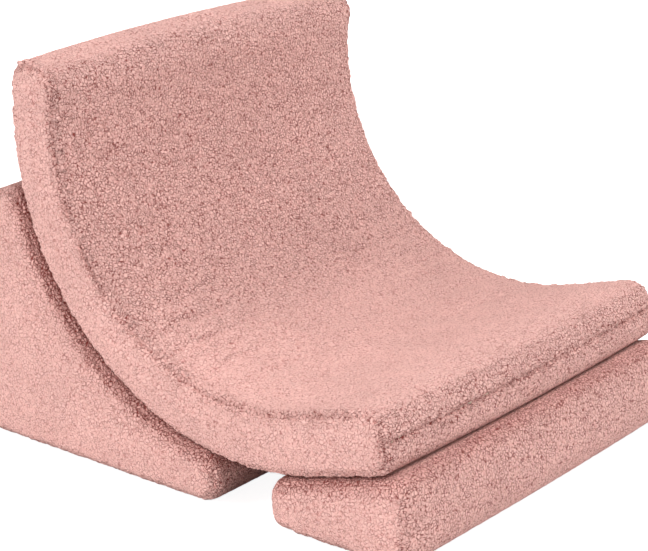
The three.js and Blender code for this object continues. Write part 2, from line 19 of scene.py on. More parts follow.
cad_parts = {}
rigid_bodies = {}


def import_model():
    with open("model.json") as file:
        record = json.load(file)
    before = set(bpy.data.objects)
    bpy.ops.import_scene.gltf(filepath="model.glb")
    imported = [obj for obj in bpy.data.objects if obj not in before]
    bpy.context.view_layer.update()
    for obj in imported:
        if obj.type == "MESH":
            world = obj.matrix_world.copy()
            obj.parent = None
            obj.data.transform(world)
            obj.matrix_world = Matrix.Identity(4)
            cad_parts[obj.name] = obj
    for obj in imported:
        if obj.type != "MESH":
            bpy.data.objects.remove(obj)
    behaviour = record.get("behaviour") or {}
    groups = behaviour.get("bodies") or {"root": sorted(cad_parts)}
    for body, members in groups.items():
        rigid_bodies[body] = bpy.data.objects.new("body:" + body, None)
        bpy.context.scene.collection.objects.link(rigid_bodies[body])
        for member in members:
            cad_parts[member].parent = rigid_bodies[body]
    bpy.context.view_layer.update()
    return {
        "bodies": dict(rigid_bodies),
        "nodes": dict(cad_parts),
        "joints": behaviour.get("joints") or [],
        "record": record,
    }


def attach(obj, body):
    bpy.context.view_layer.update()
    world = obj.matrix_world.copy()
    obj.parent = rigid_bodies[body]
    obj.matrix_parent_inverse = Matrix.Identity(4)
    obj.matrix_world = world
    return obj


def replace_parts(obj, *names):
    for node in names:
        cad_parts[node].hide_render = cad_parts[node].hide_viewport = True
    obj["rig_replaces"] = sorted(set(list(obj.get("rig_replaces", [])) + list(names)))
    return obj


log = logging.getLogger("moon_chair")

MM = 0.001
DEGREE = math.pi / 180
PHOTO_WIDTH = 648
LEAST_LENGTH = 1e-6
SEAM_PITCH = 1.5
SEED_STEP = 31.7

Point = tuple[float, float, float]
Colour = tuple[float, float, float, float]
Column = tuple[float | None, float, int]


class Facing(Enum):
    """The way a zip's outer face looks, as a direction in y and z."""

    DOWN = (0.0, -1.0)
    BACK = (1.0, 0.0)


# Cushion outlines


def ray(angle: float, length: float) -> np.ndarray:
    """Gives a point in y and z.

    Args:
        angle: radians from straight down towards the back.
        length: distance from the origin.

    Returns:
        The point as y and z.
    """
    return np.array([math.sin(angle) * length, -math.cos(angle) * length])


def angle_of(vector: np.ndarray) -> float:
    """Gives the angle of a direction, measured as ray() measures it."""
    return math.atan2(vector[0], -vector[1])


class Outline:
    """A cushion's closed side outline, drawn with the cushion on its left."""

    least_arc_steps = 3

    def __init__(self, start: np.ndarray, pitch: float) -> None:
        """Starts an outline.

        Args:
            start: the point before the first one.
            pitch: longest step between points.
        """
        self.last = start
        self.pitch = pitch
        self.places: list[np.ndarray] = []
        self.normals: list[np.ndarray] = []
        self.crowns: list[float] = []
        self.marks: dict[str, int] = {}

    def mark(self, name: str) -> None:
        """Names the last point."""
        self.marks[name] = len(self.places) - 1

    def add(self, place: np.ndarray, normal: np.ndarray) -> None:
        """Adds one point with its outward normal.

        Args:
            place: the point as y and z.
            normal: its normal.
        """
        self.places.append(place)
        self.normals.append(normal)
        self.crowns.append(0.0)
        self.last = place

    def line_to(self, end: np.ndarray) -> None:
        """Adds a straight stretch.

        Args:
            end: the point that it runs to.
        """
        start = self.last
        length = float(np.linalg.norm(end - start))
        if length < LEAST_LENGTH:
            return
        along = (end - start) / length
        steps = max(1, math.ceil(length / self.pitch))
        for step in range(1, steps + 1):
            self.add(start + (end - start) * step / steps, np.array([along[1], -along[0]]))

    def arc(self, centre: np.ndarray, radius: float, begin: float, finish: float) -> None:
        """Adds a round stretch.

        Args:
            centre: the arc's centre.
            radius: its radius.
            begin: angle it starts from, which is the last point.
            finish: angle it ends at.
        """
        outward = 1.0 if finish > begin else -1.0
        steps = max(self.least_arc_steps, math.ceil(abs(finish - begin) * radius / self.pitch))
        for step in range(1, steps + 1):
            angle = begin + (finish - begin) * step / steps
            self.add(centre + ray(angle, radius), ray(angle, outward))

    def corner_to(self, corner: np.ndarray, towards: np.ndarray, radius: float) -> None:
        """Runs to a corner between two straight stretches and rounds it.

        Args:
            corner: the sharp corner.
            towards: a point on the next stretch.
            radius: radius of the round.
        """
        arriving = (corner - self.last) / np.linalg.norm(corner - self.last)
        leaving = (towards - corner) / np.linalg.norm(towards - corner)
        turn = math.acos(float(np.clip(arriving @ leaving, -1, 1)))
        start = corner - arriving * radius * math.tan(turn / 2)
        inward = np.array([-arriving[1], arriving[0]])
        begin = angle_of(-inward)
        self.line_to(start)
        self.arc(start + inward * radius, radius, begin, begin + turn)

    def between(self, first: str, last: str) -> list[int]:
        """Gives the indices from one mark to another, both included.

        Args:
            first: the mark to start from.
            last: the mark to end at.

        Returns:
            The indices in their order.
        """
        count = len(self.places)
        start = self.marks[first]
        steps = (self.marks[last] - start) % count
        return [(start + step) % count for step in range(steps + 1)]

    def swell(self, first: str, last: str, height: float) -> None:
        """Pads out the stretch between two marks, most in its middle.

        Args:
            first: the mark to start from.
            last: the mark to end at.
            height: the most padding, in millimetres.
        """
        indices = self.between(first, last)
        places = np.array([self.places[index] for index in indices])
        run = np.concatenate([[0], np.cumsum(np.linalg.norm(np.diff(places, axis=0), axis=1))])
        for index, share in zip(indices, run / run[-1]):
            self.crowns[index] += height * math.sin(math.pi * share)


@dataclass(frozen=True)
class Zip:
    """The place of a cushion's zip."""

    y: float
    z: float
    facing: Facing
    tape_half: float
    run_half: float = 146.0
    depth: float = 4.15
    tape_fade: tuple[float, float] = (1.6, -0.6)
    end_fade: float = 3.0
    reach: float = 9.0

    @property
    def outward(self) -> np.ndarray:
        """The direction of its outer face."""
        return np.array([0.0, *self.facing.value])

    def level(self, points: np.ndarray) -> np.ndarray:
        """Gives how far points in millimetres stand out past its place."""
        return (points - np.array([0.0, self.y, self.z])) @ self.outward

    def share(self, points: np.ndarray) -> np.ndarray:
        """Gives 1 where the tape covers the foam and 0 elsewhere.

        Args:
            points: points in millimetres.

        Returns:
            The share at each point.
        """
        across = np.abs((points[:, 1:] - np.array([self.y, self.z])) @ np.array(self.facing.value[::-1]))
        outer, inner = (-(self.tape_half + fade) for fade in self.tape_fade)
        ends = smooth_step(-(self.run_half + self.end_fade), -self.run_half, -np.abs(points[:, 0]))
        return smooth_step(outer, inner, -across) * ends * (self.level(points) > -self.reach)


@dataclass(frozen=True)
class Seam:
    """A sewn seam, with points in millimetres."""

    points: np.ndarray
    depth: float
    lip: float
    bunch: float
    hidden_share: float = 0.45
    turning: tuple[float, float] = (-0.3, 0.4)

    def shown(self) -> np.ndarray:
        """Gives how much the pile gathers, which is less where a closed seam runs below or behind.

        Returns:
            A share from 0 to 1 for each point.
        """
        steps = np.gradient(self.points[:, 1:], axis=0)
        if np.linalg.norm(self.points[0] - self.points[-1]) > SEAM_PITCH:
            return np.ones(len(steps))
        area = (self.points[:, 1] * steps[:, 1] - self.points[:, 2] * steps[:, 0]).sum()
        facing = -np.sign(area) * steps.sum(1) / (np.linalg.norm(steps, axis=1) + LEAST_LENGTH)
        return self.hidden_share + (1 - self.hidden_share) * smooth_step(*self.turning, facing)


@dataclass
class CushionForm:
    """The wrapped surface of one cushion: an outline swept across the width with round edges."""

    name: str
    outline: Outline
    zip: Zip
    cross_seams: dict[str, float]
    width: float = 500.0
    edge_radius: float = 18.0
    side_crown: float = 3.0
    side_crown_reach: float = 28.0
    seam_angle: float = 45 * DEGREE
    side_bunches: tuple[float, float] = (1.0, 0.4)
    cross_lip: float = 0.4
    end_seam: tuple[float, float, float] = (0.8, 0.3, 0.5)
    end_seam_gap: float = 4.0
    edge_steps: int = 6
    flat_steps: int = 56
    seam_steps: int = 40

    @property
    def flat_half(self) -> float:
        """Half the width between the round edges."""
        return self.width / 2 - self.edge_radius

    def point(self, index: int, x: float | None, angle: float = 0.0, side: int = 1) -> Point:
        """Gives a point of the surface.

        Args:
            index: point of the outline.
            x: place across the flat part, or None on a round edge.
            angle: angle round the edge, from 0 at the flat part to a right angle at the side.
            side: -1 on the left edge and 1 on the right one.

        Returns:
            The point in millimetres.
        """
        if x is None:
            x = side * (self.flat_half + self.edge_radius * math.sin(angle))
            inset = self.edge_radius * (1 - math.cos(angle))
        else:
            inset = -self.outline.crowns[index] * (1 - (x / self.flat_half) ** 2)
        y, z = self.outline.places[index] - self.outline.normals[index] * inset
        return (x, y, z)

    def across(self, steps: int) -> list[float]:
        """Spaces places evenly over the flat part, from left to right."""
        return [-self.flat_half + 2 * self.flat_half * step / steps for step in range(steps + 1)]

    def columns(self) -> list[Column]:
        """Gives the columns of the surface, as arguments of point().

        Returns:
            The columns from left to right.
        """
        angles = [90 * DEGREE * step / self.edge_steps for step in range(1, self.edge_steps + 1)]
        left: list[Column] = [(None, angle, -1) for angle in reversed(angles)]
        right: list[Column] = [(None, angle, 1) for angle in angles]
        return left + [(x, 0.0, 1) for x in self.across(self.flat_steps)] + right

    def surface(self) -> tuple[list[Point], list[list[int]]]:
        """Builds the closed surface.

        Returns:
            Its points in millimetres and its faces.
        """
        columns = self.columns()
        rows = len(self.outline.places)
        wide = len(columns)
        points = [self.point(row, *column) for row in range(rows) for column in columns]
        faces = []
        for row in range(rows):
            here = row * wide
            after = (row + 1) % rows * wide
            for step in range(wide - 1):
                faces.append([here + step, after + step, after + step + 1, here + step + 1])
        faces.append([row * wide for row in range(rows)])
        faces.append([row * wide + wide - 1 for row in reversed(range(rows))])
        return points, faces

    def edge_loop(self, angle: float, side: int) -> list[Point]:
        """Gives the points of one round edge at an angle from 0 at the flat part to a right angle."""
        return [self.point(row, None, angle, side) for row in range(len(self.outline.places))]

    def seams(self) -> list[Seam]:
        """Finds the sewn seams.

        Returns:
            The seams: both sides, those across, and those from the zip's ends to the sides.
        """
        found = []
        for side, bunch in zip((-1, 1), self.side_bunches):
            loop = self.edge_loop(self.seam_angle, side)
            found.append(Seam(resample(loop + loop[:1]), 1.0, bunch, bunch))
        for name, strength in self.cross_seams.items():
            index = self.outline.marks[name]
            left, right = (self.point(index, None, self.seam_angle, side) for side in (-1, 1))
            middle = [self.point(index, x) for x in self.across(self.seam_steps)]
            line = resample([left, *middle, right])
            found.append(Seam(line, strength, self.cross_lip * strength, strength))
        for side in (-1, 1):
            reaches = (self.zip.run_half + self.end_seam_gap, self.flat_half)
            ends = [(side * reach, self.zip.y, self.zip.z) for reach in reaches]
            found.append(Seam(resample(ends), *self.end_seam))
        return found

    def side_rings(self) -> np.ndarray:
        """Gives the points where the round edges end on the two sides."""
        return np.array([point for side in (-1, 1) for point in self.edge_loop(90 * DEGREE, side)])


def resample(line: Sequence[Point]) -> np.ndarray:
    """Spaces points evenly along a line, one seam pitch apart.

    Args:
        line: the points of the line in millimetres.

    Returns:
        The new points.
    """
    places = np.array(line)
    lengths = np.concatenate([[0], np.cumsum(np.linalg.norm(np.diff(places, axis=0), axis=1))])
    spots = np.linspace(0, lengths[-1], max(2, round(lengths[-1] / SEAM_PITCH)))
    return np.stack([np.interp(spots, lengths, places[:, axis]) for axis in range(3)], axis=1)


@dataclass
class ChairLayout:
    """The driving dimensions that the three cushions share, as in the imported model."""

    seat_inner_radius: float = 244.0
    seat_thickness: float = 68.0
    seat_height: float = 55.0
    seat_front_length: float = 108.0
    seat_front_slope: float = 15.7
    seat_back_angle: float = 102.0
    seat_end_radius: float = 22.5
    seat_face_crown: float = 3.0
    seat_end_crown: float = 8.0
    wedge_front_angle: float = 6.0
    wedge_tip_angle: float = 76.4
    wedge_depth: float = 341.0
    wedge_top_slope: float = 20.0
    wedge_corner_radius: float = 21.0
    wedge_front_round: float = 27.0
    wedge_back_crown: float = 4.0
    wedge_zip_height: float = 70.0
    block_reach: float = 16.0
    block_depth: float = 172.0
    block_corner_radius: float = 18.6
    block_front_crown: float = 4.0
    block_zip_height: float = 28.0
    zip_half: float = 9.0
    half_width: float = 250.0
    fit_gap: float = 0.3
    near_share: float = 1 / 3
    contact_reach: float = 15.0
    side_rim: tuple[float, float] = (34.0, 18.0)
    wedge_rim: tuple[float, float] = (45.0, 15.0)
    block_rim: tuple[float, float] = (14.0, 0.0)
    pitch: float = 6.0

    def __post_init__(self) -> None:
        """Works out the shared places."""
        self.outer_radius = self.seat_inner_radius + self.seat_thickness
        self.slope = self.seat_front_slope * DEGREE
        front_run = self.seat_front_length * math.cos(self.slope)
        self.front_run = front_run + self.outer_radius * math.sin(self.slope)
        self.wedge_radius = self.outer_radius + self.fit_gap
        self.wedge_front_y = self.wedge_radius * math.sin(self.wedge_front_angle * DEGREE)
        front = self.block_front_crown + self.block_reach + self.front_run
        depth = front + self.wedge_front_y + self.wedge_depth + self.wedge_back_crown
        self.centre = np.array([front - depth / 2, self.seat_height + self.outer_radius])
        self.forward = np.array([-math.cos(self.slope), math.sin(self.slope)])

    def clear(self, name: str, points: np.ndarray) -> np.ndarray:
        """Keeps a cushion's points off the floor and off the cushion that it touches.

        Args:
            name: the cushion's name.
            points: its points in millimetres.

        Returns:
            The points, moved back where they reached too far.
        """
        kept = points.copy()
        offset = kept[:, 1:] - self.centre
        reach = np.linalg.norm(offset, axis=1)
        down = ray(-self.slope, 1.0)
        level = offset @ down
        outwards = offset / reach[:, None]
        near = self.fit_gap * self.near_share
        if name == "seat":
            straight = offset @ self.forward > 0
            flat = np.maximum(level - self.outer_radius - near, 0) * straight
            bent = np.maximum(reach - self.outer_radius - near, 0) * ~straight
            kept[:, 1:] -= flat[:, None] * down + bent[:, None] * outwards
            return kept
        if name == "wedge":
            kept[:, 1:] += np.maximum(self.wedge_radius - near - reach, 0)[:, None] * outwards
        else:
            kept[:, 1:] += np.maximum(self.wedge_radius - near - level, 0)[:, None] * down
        kept[:, 2] = np.maximum(kept[:, 2], 0)
        return kept

    def contact(self, name: str, points: np.ndarray) -> np.ndarray:
        """Gives how close the outer rims of a cushion come to the seat that leans on it.

        Args:
            name: the cushion's name.
            points: its points in millimetres.

        Returns:
            1 where the rims touch it, falling to 0 away from there, for each point.
        """
        if name == "seat":
            return np.zeros(len(points))
        offset = points[:, 1:] - self.centre
        if name == "wedge":
            level = np.linalg.norm(offset, axis=1)
            ahead = self.rim(self.wedge_rim, offset[:, 0] - self.wedge_front_y)
        else:
            level = offset @ ray(-self.slope, 1.0)
            ahead = self.rim(self.block_rim, self.seat_front_length - offset @ self.forward)
        beside = self.rim(self.side_rim, self.half_width - np.abs(points[:, 0]))
        near = bell(level - self.wedge_radius, self.contact_reach)
        return near * np.maximum(beside, ahead)

    @staticmethod
    def rim(reach: tuple[float, float], inward: np.ndarray) -> np.ndarray:
        """Gives 1 on a rim and 0 further inside.

        Args:
            reach: how far inside the share gets to 0, and how far inside it is still 1.
            inward: distances from the edge.

        Returns:
            The share at each distance.
        """
        return smooth_step(-reach[0], -reach[1], -inward)

    def settle(self, outline: Outline) -> Outline:
        """Moves an outline drawn round the arc's centre into the frame."""
        outline.places = [place + self.centre for place in outline.places]
        return outline

    def seat(self) -> CushionForm:
        """Draws the seat slab.

        Returns:
            Its form.
        """
        outer, inner, end = self.outer_radius, self.seat_inner_radius, self.seat_end_radius
        back = self.seat_back_angle * DEGREE
        outer_bend = ray(-self.slope, outer)
        outer_front = outer_bend + self.forward * self.seat_front_length
        inner_front = ray(-self.slope, inner) + self.forward * self.seat_front_length
        outer_end = back - math.asin(end / (outer - end))
        inner_end = back - math.asin(end / (inner + end))
        outer_end_centre = ray(outer_end, outer - end)
        inner_end_centre = ray(inner_end, inner + end)
        front_middle = (outer_front + inner_front) / 2
        lip = inner_front - self.forward * end
        origin = np.zeros(2)

        outline = Outline(front_middle, self.pitch)
        outline.corner_to(outer_front, outer_bend, end)
        outline.mark("front_low")
        outline.line_to(outer_bend)
        outline.arc(origin, outer, -self.slope, outer_end)
        outline.mark("back_low")
        outline.arc(outer_end_centre, end, outer_end, back + math.pi / 2)
        outline.line_to(ray(back, (inner + outer) / 2))
        outline.mark("back_seam")
        outline.line_to(inner_end_centre + ray(back + math.pi / 2, end))
        outline.arc(inner_end_centre, end, back + math.pi / 2, inner_end + math.pi)
        outline.mark("back_high")
        outline.arc(origin, inner, inner_end, -self.slope)
        outline.line_to(lip)
        outline.mark("front_high")
        outline.arc(lip + ray(-self.slope, end), end, math.pi - self.slope, 1.5 * math.pi - self.slope)
        outline.line_to(front_middle)
        outline.mark("front_seam")
        outline.swell("front_high", "front_low", self.seat_end_crown)
        outline.swell("back_low", "back_high", self.seat_end_crown)
        outline.swell("back_high", "front_high", self.seat_face_crown)
        zip_place = Zip(self.centre[0], self.seat_height, Facing.DOWN, self.zip_half)
        return CushionForm("seat", self.settle(outline), zip_place, {"front_seam": 1.3, "back_seam": 0.25})

    def wedge(self) -> CushionForm:
        """Draws the rear wedge.

        Returns:
            Its form.
        """
        corner = self.wedge_corner_radius
        floor = -self.centre[1]
        back_y = self.wedge_front_y + self.wedge_depth
        down = self.wedge_top_slope * DEGREE
        tip = ray(self.wedge_tip_angle * DEGREE, self.wedge_radius)
        along = np.array([math.cos(down), -math.sin(down)])
        base = tip + np.array([-math.sin(down), -math.cos(down)]) * corner
        middle = base @ along
        shift = math.sqrt(middle**2 + (self.wedge_radius + corner) ** 2 - base @ base) - middle
        tip_centre = base + along * shift
        tip_angle = angle_of(tip_centre)
        begin = math.pi - down
        front_y = self.wedge_front_y + corner
        front_centre = np.array([front_y, -math.sqrt((self.wedge_radius + corner) ** 2 - front_y**2)])
        front_angle = angle_of(front_centre)
        top_back = tip + along * (back_y - tip[0]) / along[0]
        low_front = np.array([self.wedge_front_y, floor])
        low_back = np.array([back_y, floor])

        outline = Outline(np.array([self.wedge_front_y, front_centre[1]]), self.pitch)
        outline.corner_to(low_front, low_back, self.wedge_front_round)
        outline.mark("low_front")
        outline.corner_to(low_back, top_back, corner)
        outline.mark("low_back")
        outline.line_to(np.array([back_y, floor + self.wedge_zip_height + self.zip_half]))
        outline.mark("zip_end")
        outline.corner_to(top_back, tip, corner)
        outline.mark("top_back")
        outline.line_to(tip_centre + ray(begin, corner))
        outline.mark("tip_back")
        outline.arc(tip_centre, corner, begin, math.pi + tip_angle)
        outline.arc(np.zeros(2), self.wedge_radius, tip_angle, front_angle)
        outline.arc(front_centre, corner, front_angle + math.pi, 1.5 * math.pi)
        outline.swell("zip_end", "top_back", self.wedge_back_crown)
        zip_place = Zip(back_y + self.centre[0], self.wedge_zip_height, Facing.BACK, self.zip_half)
        seams = {"low_front": 1.0, "low_back": 1.0, "tip_back": 1.0}
        return CushionForm("wedge", self.settle(outline), zip_place, seams)

    def block(self) -> CushionForm:
        """Draws the front block.

        Returns:
            Its form.
        """
        corner = self.block_corner_radius
        floor = -self.centre[1]
        seat_corner = ray(-self.slope, self.wedge_radius) + self.forward * self.seat_front_length
        front_y = -self.front_run - self.block_reach
        rear_y = front_y + self.block_depth
        rise = math.tan(self.slope)
        low_front = np.array([front_y, floor])
        low_rear = np.array([rear_y, floor])
        top_rear = np.array([rear_y, seat_corner[1] + (seat_corner[0] - rear_y) * rise])
        top_front = np.array([front_y, seat_corner[1] + (seat_corner[0] - front_y) * rise])
        middle = (low_front + top_front) / 2

        outline = Outline(middle, self.pitch)
        outline.corner_to(low_front, low_rear, corner)
        outline.mark("low_front")
        outline.corner_to(low_rear, top_rear, corner)
        outline.corner_to(top_rear, top_front, corner)
        outline.corner_to(top_front, middle, corner)
        outline.mark("top_front")
        outline.line_to(middle)
        outline.swell("top_front", "low_front", self.block_front_crown)
        zip_place = Zip(rear_y + self.centre[0], self.block_zip_height, Facing.BACK, self.zip_half)
        return CushionForm("block", self.settle(outline), zip_place, {"low_front": 1.0})


# Meshes


def new_object(name: str, points: Sequence[Sequence[float]], faces: Sequence[Sequence[int]],
               edges: Sequence[Sequence[int]] = ()) -> bpy.types.Object:
    """Makes a mesh object.

    Args:
        name: its name.
        points: its points in millimetres.
        faces: its faces.
        edges: its loose edges.

    Returns:
        The object, linked to the scene.
    """
    mesh = bpy.data.meshes.new(name)
    mesh.from_pydata((np.array(points, float) * MM).tolist(), edges, faces)
    mesh.update()
    made = bpy.data.objects.new(name, mesh)
    bpy.context.scene.collection.objects.link(made)
    return made


def coordinates(mesh: bpy.types.Mesh) -> np.ndarray:
    """Reads a mesh's points as an array in metres.

    Args:
        mesh: the mesh.

    Returns:
        One row for each point.
    """
    flat = np.zeros(len(mesh.vertices) * 3, np.float32)
    mesh.vertices.foreach_get("co", flat)
    return flat.reshape(-1, 3).astype(float)


def set_coordinates(mesh: bpy.types.Mesh, points: np.ndarray) -> None:
    """Writes a mesh's points from an array in metres."""
    mesh.vertices.foreach_set("co", points.astype(np.float32).ravel())
    mesh.update()


def point_normals(mesh: bpy.types.Mesh) -> np.ndarray:
    """Reads the normals at a mesh's points.

    Args:
        mesh: the mesh.

    Returns:
        One row for each point.
    """
    flat = np.zeros(len(mesh.vertices) * 3, np.float32)
    mesh.vertex_normals.foreach_get("vector", flat)
    return flat.reshape(-1, 3).astype(float)


def bake_modifiers(piece: bpy.types.Object) -> None:
    """Turns a piece's modifiers into its own mesh and removes them.

    Args:
        piece: the piece.
    """
    bpy.context.view_layer.update()
    graph = bpy.context.evaluated_depsgraph_get()
    finished = bpy.data.meshes.new_from_object(piece.evaluated_get(graph))
    finished.name = piece.name
    piece.modifiers.clear()
    previous = piece.data
    piece.data = finished
    bpy.data.meshes.remove(previous)


def voxel_remesh(piece: bpy.types.Object, size: float) -> None:
    """Gives a closed piece an even mesh and smooths its steps away.

    Args:
        piece: the piece.
        size: edge of a voxel in millimetres.
    """
    modifier = piece.modifiers.new("Even mesh", "REMESH")
    modifier.mode = "VOXEL"
    modifier.voxel_size = size * MM
    modifier.use_smooth_shade = True
    smoother = piece.modifiers.new("Level the steps", "SMOOTH")
    smoother.factor = 0.5
    smoother.iterations = 4
    bake_modifiers(piece)


def subdivide(piece: bpy.types.Object, levels: int) -> None:
    """Applies a subdivision surface.

    Args:
        piece: the piece.
        levels: how often each face is split.
    """
    modifier = piece.modifiers.new("Finer mesh", "SUBSURF")
    modifier.levels = levels
    modifier.render_levels = levels
    bake_modifiers(piece)


def write_attribute(mesh: bpy.types.Mesh, name: str, values: np.ndarray) -> None:
    """Stores one number for each point of a mesh."""
    attribute = mesh.attributes.get(name) or mesh.attributes.new(name, "FLOAT", "POINT")
    attribute.data.foreach_set("value", values.astype(np.float32))


def smooth_step(low: float, high: float, value: np.ndarray) -> np.ndarray:
    """Rises softly from 0 at low to 1 at high."""
    share = np.clip((value - low) / (high - low), 0, 1)
    return share * share * (3 - 2 * share)


def bell(distance: np.ndarray, reach: float) -> np.ndarray:
    """Falls softly from 1 at a distance of 0, to about a third at the reach."""
    return np.exp(-((distance / reach) ** 2))


def tree_of(points: np.ndarray) -> KDTree:
    """Builds a search tree over points.

    Args:
        points: the points.

    Returns:
        The tree.
    """
    tree = KDTree(len(points))
    for index, point in enumerate(points):
        tree.insert(point, index)
    tree.balance()
    return tree


def nearest(tree: KDTree, points: np.ndarray) -> tuple[np.ndarray, np.ndarray]:
    """Finds each point's nearest neighbour in a tree.

    Args:
        tree: the tree.
        points: the points to look up.

    Returns:
        The neighbours' indices and distances.
    """
    found = [tree.find(point) for point in points]
    return np.array([hit[1] for hit in found]), np.array([hit[2] for hit in found])


# Node trees


class NodeTree:
    """Adds nodes to a geometry or shader tree."""

    def __init__(self, tree: bpy.types.NodeTree) -> None:
        """Wraps a tree."""
        self.tree = tree

    def node(self, kind: str, settings: dict[str, Any] | None = None, **sockets: Any) -> bpy.types.Node:
        """Adds a node.

        Args:
            kind: its type.
            settings: its properties, set before its sockets.
            sockets: values or links of its inputs, by name with _ for a space, or by _ and a number.

        Returns:
            The node.
        """
        made = self.tree.nodes.new(kind)
        for name, value in (settings or {}).items():
            if name == "stops":
                self.set_stops(made, value)
            else:
                setattr(made, name, value)
        for name, value in sockets.items():
            socket = self.find(made, name)
            if isinstance(value, Signal):
                value = value.socket
            if isinstance(value, bpy.types.NodeSocket):
                self.tree.links.new(value, socket)
            else:
                socket.default_value = value
        return made

    @staticmethod
    def set_stops(ramp: bpy.types.Node, stops: Sequence[tuple[float, Sequence[float]]]) -> None:
        """Sets the stops of a colour ramp.

        Args:
            ramp: the ramp node.
            stops: each stop's position and colour.
        """
        elements = ramp.color_ramp.elements
        while len(elements) < len(stops):
            elements.new(1.0)
        for element, (position, colour) in zip(elements, stops):
            element.position = position
            element.color = colour

    @staticmethod
    def find(made: bpy.types.Node, name: str) -> bpy.types.NodeSocket:
        """Finds an input of a node.

        Args:
            made: the node.
            name: the name with _ for a space, or _ and a number.

        Returns:
            The input.
        """
        if name.startswith("_"):
            return made.inputs[int(name[1:])]
        wanted = name.replace("_", " ").lower()
        for socket in made.inputs:
            if socket.name.lower() == wanted and socket.enabled:
                return socket
        raise KeyError(f"{made.name} has no input {wanted}")

    def signal(self, kind: str, settings: dict[str, Any] | None = None, output: int = 0,
               **sockets: Any) -> "Signal":
        """Adds a node and gives one of its outputs, counted among those in use."""
        made = self.node(kind, settings, **sockets)
        return Signal(self, [socket for socket in made.outputs if socket.enabled][output])

    def object_place(self) -> "Signal":
        """Gives the place in the object's own coordinates."""
        return self.signal("ShaderNodeTexCoord", output=3)

    def attribute(self, name: str, output: int = 2) -> "Signal":
        """Reads an attribute, as a vector with output 1 or as a number with output 2."""
        return self.signal("ShaderNodeAttribute", {"attribute_name": name}, output=output)

    def axes(self, vector: "Signal") -> list["Signal"]:
        """Splits a vector into its three parts."""
        return [Signal(self, part) for part in self.node("ShaderNodeSeparateXYZ", Vector=vector).outputs]

    def noise(self, place: "Signal", size: float, detail: float, output: int = 0) -> "Signal":
        """Adds noise with patches of a size in millimetres, as a number or, with output 1, as a colour."""
        scale = 1 / (size * MM)
        return self.signal("ShaderNodeTexNoise", output=output, Vector=place, Scale=scale, Detail=detail)

    def cells(self, place: "Signal", size: float, feature: str = "F1") -> "Signal":
        """Adds cells of a size in millimetres and gives how far a place is from their middles or borders."""
        return self.signal("ShaderNodeTexVoronoi", {"feature": feature}, Vector=place, Scale=1 / (size * MM))

    def mix(self, share: "Signal", first: Colour, second: Colour) -> "Signal":
        """Mixes two colours, with the second one's share from 0 to 1."""
        return self.signal("ShaderNodeMix", {"data_type": "RGBA"}, Factor=share, _6=first, _7=second)

    def bump(self, strength: float, reach: float, height: "Signal") -> "Signal":
        """Adds a bump whose height from 0 to 1 stands for a reach in millimetres."""
        return self.signal("ShaderNodeBump", Strength=strength, Distance=reach * MM, Height=height)


class Signal:
    """A socket that can stand in sums and products."""

    def __init__(self, owner: NodeTree, socket: bpy.types.NodeSocket) -> None:
        """Wraps an output."""
        self.owner = owner
        self.socket = socket

    def math(self, operation: str, *others: "Signal | float") -> "Signal":
        """Adds a Math node with this signal as its first input."""
        sockets = {f"_{index}": value for index, value in enumerate((self, *others))}
        return self.owner.signal("ShaderNodeMath", {"operation": operation}, **sockets)

    def __add__(self, other: "Signal | float") -> "Signal":
        """Adds."""
        return self.math("ADD", other)

    def __sub__(self, other: "Signal | float") -> "Signal":
        """Subtracts."""
        return self.math("SUBTRACT", other)

    def __rsub__(self, other: float) -> "Signal":
        """Subtracts from a number."""
        return self.owner.signal("ShaderNodeMath", {"operation": "SUBTRACT"}, _0=other, _1=self)

    def __mul__(self, other: "Signal | float") -> "Signal":
        """Multiplies."""
        return self.math("MULTIPLY", other)

    __radd__ = __add__
    __rmul__ = __mul__

    def ramp(self, low: float, high: float) -> "Signal":
        """Rises softly from 0 at low to 1 at high."""
        settings = {"interpolation_type": "SMOOTHSTEP"}
        return self.owner.signal("ShaderNodeMapRange", settings, Value=self, From_Min=low, From_Max=high)

    def vector(self, operation: str, **sockets: Any) -> "Signal":
        """Adds a Vector Math node with this signal as its first input."""
        return self.owner.signal("ShaderNodeVectorMath", {"operation": operation}, _0=self, **sockets)

    def scaled(self, factor: "Signal | float") -> "Signal":
        """Scales a vector or a colour."""
        return self.vector("SCALE", Scale=factor)


